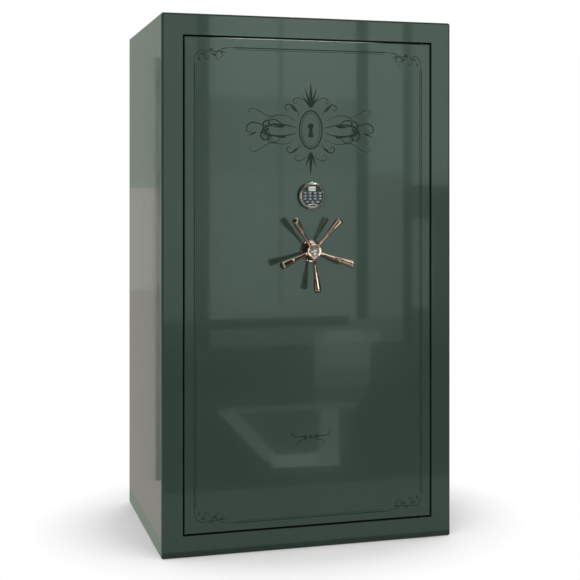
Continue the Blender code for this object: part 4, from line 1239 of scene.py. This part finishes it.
def add_world():
    """White surroundings; reflections see a darker room with a pale back wall."""
    world = bpy.data.worlds.new("studio")
    nodes = Nodes(world)
    parts = nodes.node("SeparateXYZ", {0: nodes.node("TexCoord").outputs["Generated"]})
    depth = nodes.range(parts.outputs["Y"], start=-0.1, end=0.6)
    room = nodes.mix(depth, (0.035, 0.038, 0.036), (0.29, 0.33, 0.28))
    white, mirrored = (nodes.node("Background", {"Color": colour}) for colour in ((1.0, 1.0, 1.0), room))
    rays = nodes.node("LightPath").outputs["Is Glossy Ray"]
    pick = nodes.node("MixShader", {0: rays, 1: white.outputs[0], 2: mirrored.outputs[0]})
    nodes.node("OutputWorld", {"Surface": pick.outputs[0]})
    bpy.context.scene.world = world


def add_floor():
    """Pale floor that turns plain white a little way from the safe."""
    finish = Finish("pale_floor", (0.9, 0.9, 0.9), 0.9)
    away = finish.node("VectorMath", {0: finish.stretched((1.0, 1.3, 1.0))}, operation="LENGTH")
    fade = finish.range(away.outputs["Value"], 0.0, 1.0, 0.62, 0.95)
    white = finish.node("Emission")
    mixed = finish.node("MixShader", {0: fade, 1: finish.shader.outputs[0], 2: white.outputs[0]})
    finish.feed(finish.tree.nodes["Material Output"].inputs["Surface"], mixed.outputs[0])
    bm = bmesh.new()
    bmesh.ops.create_grid(bm, x_segments=1, y_segments=1, size=80.0)
    floor = setup(link_mesh("floor", bm, finish.material), location=(0, 0, -0.0002), visible_glossy=False)


def card(name, corners, colour, strength):
    """A studio card that shows only in reflections."""
    look = bpy.data.materials.new(name)
    nodes = Nodes(look)
    glow = nodes.node("Emission", {"Color": colour, "Strength": strength})
    nodes.node("OutputMaterial", {"Surface": glow.outputs[0]})
    bm = bmesh.new()
    bm.faces.new([bm.verts.new(c) for c in corners])
    made = setup(link_mesh(name, bm, look), visible_camera=False, visible_diffuse=False, visible_shadow=False,
                 visible_transmission=False)


def door_card(name, x, z, colour, strength, distance):
    """An upright card this far in front of the door, which mirrors it between these spans of its face."""
    share = distance / (FACE_Y - EYE.y)
    x0, x1 = (a + (a - EYE.x) * share for a in x)
    z0, z1 = (a + (a - EYE.z) * share for a in z)
    y = FACE_Y - distance
    card(name, [(x0, y, z0), (x1, y, z0), (x1, y, z1), (x0, y, z1)], colour, strength)


def floor_card(name, x, y, colour, strength, height=0.004):
    card(name, [(x[0], y[0], height), (x[1], y[0], height), (x[1], y[1], height), (x[0], y[1], height)],
         colour, strength)


def floor_patch(name, corners, colour, strength, height):
    """A patch of floor that the door mirrors inside these corners (x, z) of its face."""
    places = []
    for x, z in corners:
        share = (z - height) / (EYE.z - z)
        places.append((x + (x - EYE.x) * share, FACE_Y - (FACE_Y - EYE.y) * share, height))
    card(name, places, colour, strength)


def beside(slope, y, z):
    """A point beside the safe, on a line from the eye as the left side mirrors it."""
    return 2 * CABINET[0].x - EYE.x - slope * (y - EYE.y), y, z


DAYLIGHT = (0.84, 1.0, 0.95)
WARM = (1.0, 0.95, 0.86)
CREAM = (1.0, 0.95, 0.88)
FAR_WARM = (1.0, 0.97, 0.91)
AMBER = (1.0, 0.93, 0.82)

# What the door mirrors: spans of its face in x and z, the card's brightness and how far off it stands.
DOOR_CARDS = (
    ((-0.362, 0.168), (0.79, 1.3), 0.84, 4.6),
    ((-0.362, 0.168), (1.29, 1.56), 0.73, 4.61),
    ((-0.362, 0.168), (1.55, 2.4), 1.1, 4.62),
    ((-0.405, -0.362), (0.6, 2.4), 0.02, 4.64),
    ((-0.75, -0.405), (0.8, 2.4), 0.46, 4.6),
    ((-0.75, -0.405), (0.6, 0.8), 0.15, 4.61),
    ((-0.118, -0.1), (0.85, 2.4), 0.52, 4.55),
    ((0.168, 0.212), (1.02, 2.4), 0.04, 4.64),
    ((0.168, 0.212), (0.6, 1.02), 0.0, 4.64),
    ((0.212, 0.345), (1.3, 2.4), 1.02, 4.6),
    ((0.212, 0.345), (0.7, 1.3), 0.68, 4.61),
    ((0.345, 0.378), (1.25, 2.4), 0.12, 4.63),
    ((0.345, 0.378), (0.7, 1.25), 0.0, 4.64),
    ((0.378, 0.7), (1.26, 2.4), 0.8, 4.6),
    ((0.378, 0.7), (1.14, 1.26), 0.16, 4.62),
    ((0.378, 0.455), (0.82, 1.14), 0.68, 4.6),
    ((0.455, 0.7), (0.82, 1.14), 0.2, 4.61),
    ((0.378, 0.7), (0.55, 0.82), 0.18, 4.62),
    ((-0.36, 0.345), (0.7, 0.79), 0.42, 4.6),
    ((-0.36, 0.142), (0.768, 0.802), 0.0, 4.57),
    ((0.01, 0.26), (0.7, 0.748), 0.72, 4.58),
    ((0.06, 0.19), (0.712, 0.752), 0.92, 4.56),
    ((-0.75, 0.7), (0.4, 0.715), 0.14, 4.66),
)
# Light lying on the floor, by where the door mirrors it: corners in x and z, brightness.
FLOOR_PATCHES = (
    (((0.015, 0.62), (0.015, 0.715), (0.225, 0.715), (0.22, 0.62)), 0.6),
    (((0.015, 0.555), (0.015, 0.62), (0.22, 0.62), (0.215, 0.555)), 0.42),
    (((0.01, 0.5), (0.015, 0.555), (0.215, 0.555), (0.195, 0.5)), 0.26),
    (((-0.32, 0.49), (0.165, 0.495), (0.115, 0.275), (-0.12, 0.285)), 0.22),
    (((-0.33, 0.478), (-0.33, 0.5), (0.17, 0.5), (0.17, 0.478)), 0.48),
    (((-0.325, 0.48), (-0.265, 0.48), (-0.105, 0.31), (-0.165, 0.31)), 0.66),
    (((-0.14, 0.285), (-0.15, 0.328), (0.105, 0.328), (0.105, 0.28)), 0.9),
    (((0.03, 0.29), (0.035, 0.48), (0.105, 0.48), (0.1, 0.29)), 0.66),
)
BAR_NEAR, BAR_FAR = 0.1868, 0.1813  # slopes of the two edges of a dark bar beside the safe


def add_reflections():
    """What the enamel mirrors: a tall window with dark bars, and the floor in front and at the side."""
    for i, (x, z, strength, distance) in enumerate(DOOR_CARDS):
        door_card(f"door_card_{i}", x, z, DAYLIGHT, strength, distance)
    floor_card("front_floor", (-3.0, 8.0), (-12.0, -1.1), DAYLIGHT, 0.13)
    floor_card("near_floor", (-3.0, 8.0), (-1.1, -0.4), DAYLIGHT, 0.3)
    for i, (corners, strength) in enumerate(FLOOR_PATCHES):
        floor_patch(f"floor_patch_{i}", corners, DAYLIGHT, strength, 0.008 + 0.001 * i)
    floor_card("side_floor", (-8.0, -0.56), (-0.4, 9.0), WARM, 0.37)
    floor_card("side_floor_far", (-90.0, -0.56), (9.0, 500.0), FAR_WARM, 0.43)
    for name, near, far, strength in (("side_edge_low", (0.6, 0.008), (20.0, 0.008), 0.1),
                                      ("side_edge_high", (20.0, 0.0), (20.0, 4.1), 0.09)):
        corners = [beside(BAR_NEAR, *near), beside(BAR_FAR, *near), beside(BAR_FAR, *far),
                   beside(BAR_NEAR, *far)]
        card(name, corners, DAYLIGHT, strength)


def add_light(name, place, aim, size, power, colour=(1.0, 1.0, 1.0), glossy=False):
    """A rectangular light that points at a place."""
    data = setup(bpy.data.lights.new(name, "AREA"), shape="RECTANGLE", size=size[0], size_y=size[1],
                 energy=power, color=colour)
    turn = (Vector(aim) - Vector(place)).to_track_quat("-Z", "Y").to_euler()
    return setup(link_object(name, data), location=place, rotation_euler=turn, visible_glossy=glossy)


def add_glints():
    """Lights that show only as glints on the handle, the keypad and the door's edge."""
    groups = {name: bpy.data.collections.new(name) for name in ("hardware", "below_cap", "door_edge")}
    for made in list(bpy.context.scene.collection.all_objects):
        if made.name.endswith("_polished") or made.name in ("keypad_ring", "battery_cover_rim"):
            groups["hardware"].objects.link(made)
            if made.name != "hub_cap_polished":
                groups["below_cap"].objects.link(made)
    groups["door_edge"].objects.link(frame["nodes"]["door_plate"])
    for name, place, size, colour, strength, group, level in (
            ("front_strip", (-0.22, -4.0, 1.5), (0.56, 3.4), CREAM, 1.9, "hardware", True),
            ("right_strip", (2.95, -4.0, 1.6), (0.7, 3.2), CREAM, 2.2, "hardware", True),
            ("low_front", (0.31, -1.22, 0.05), (0.62, 0.75), CREAM, 2.2, "hardware", False),
            ("left_front", (-2.6, -4.0, 0.25), (0.6, 1.3), CREAM, 1.8, "hardware", False),
            ("left_wall", (-3.0, -1.2, 1.3), (2.4, 2.6), AMBER, 0.45, "hardware", False),
            ("overhead", (0.6, -2.0, 3.45), (1.7, 1.5), CREAM, 3.0, "below_cap", False),
            ("over_door", (0.6, -2.0, 3.45), (2.6, 1.7), CREAM, 11.0, "door_edge", False)):
        aim = Vector(place) + Y if level else HANDLE_AT
        made = add_light(name, place, aim, size, strength * 4.0 * size[0] * size[1], colour, glossy=True)
        made.visible_diffuse = False
        made.light_linking.receiver_collection = groups[group]


def add_studio():
    add_camera()
    add_world()
    add_floor()
    add_reflections()
    add_glints()
    add_light("key", (-3.2, -3.6, 3.6), (0, -0.2, 0.9), (2.4, 2.4), 60.0)
    add_light("fill", (3.4, -3.0, 2.2), (0, -0.2, 0.9), (2.0, 2.0), 25.0)
    bpy.context.scene.view_settings.view_transform = "Standard"


# ---------------- everything

finish_cad_nodes()
for add in (add_border, add_crest, add_lower_mark, add_handle, add_keypad, add_lining, add_door_back,
            add_organiser, add_outlet_details):
    add()
add_studio()
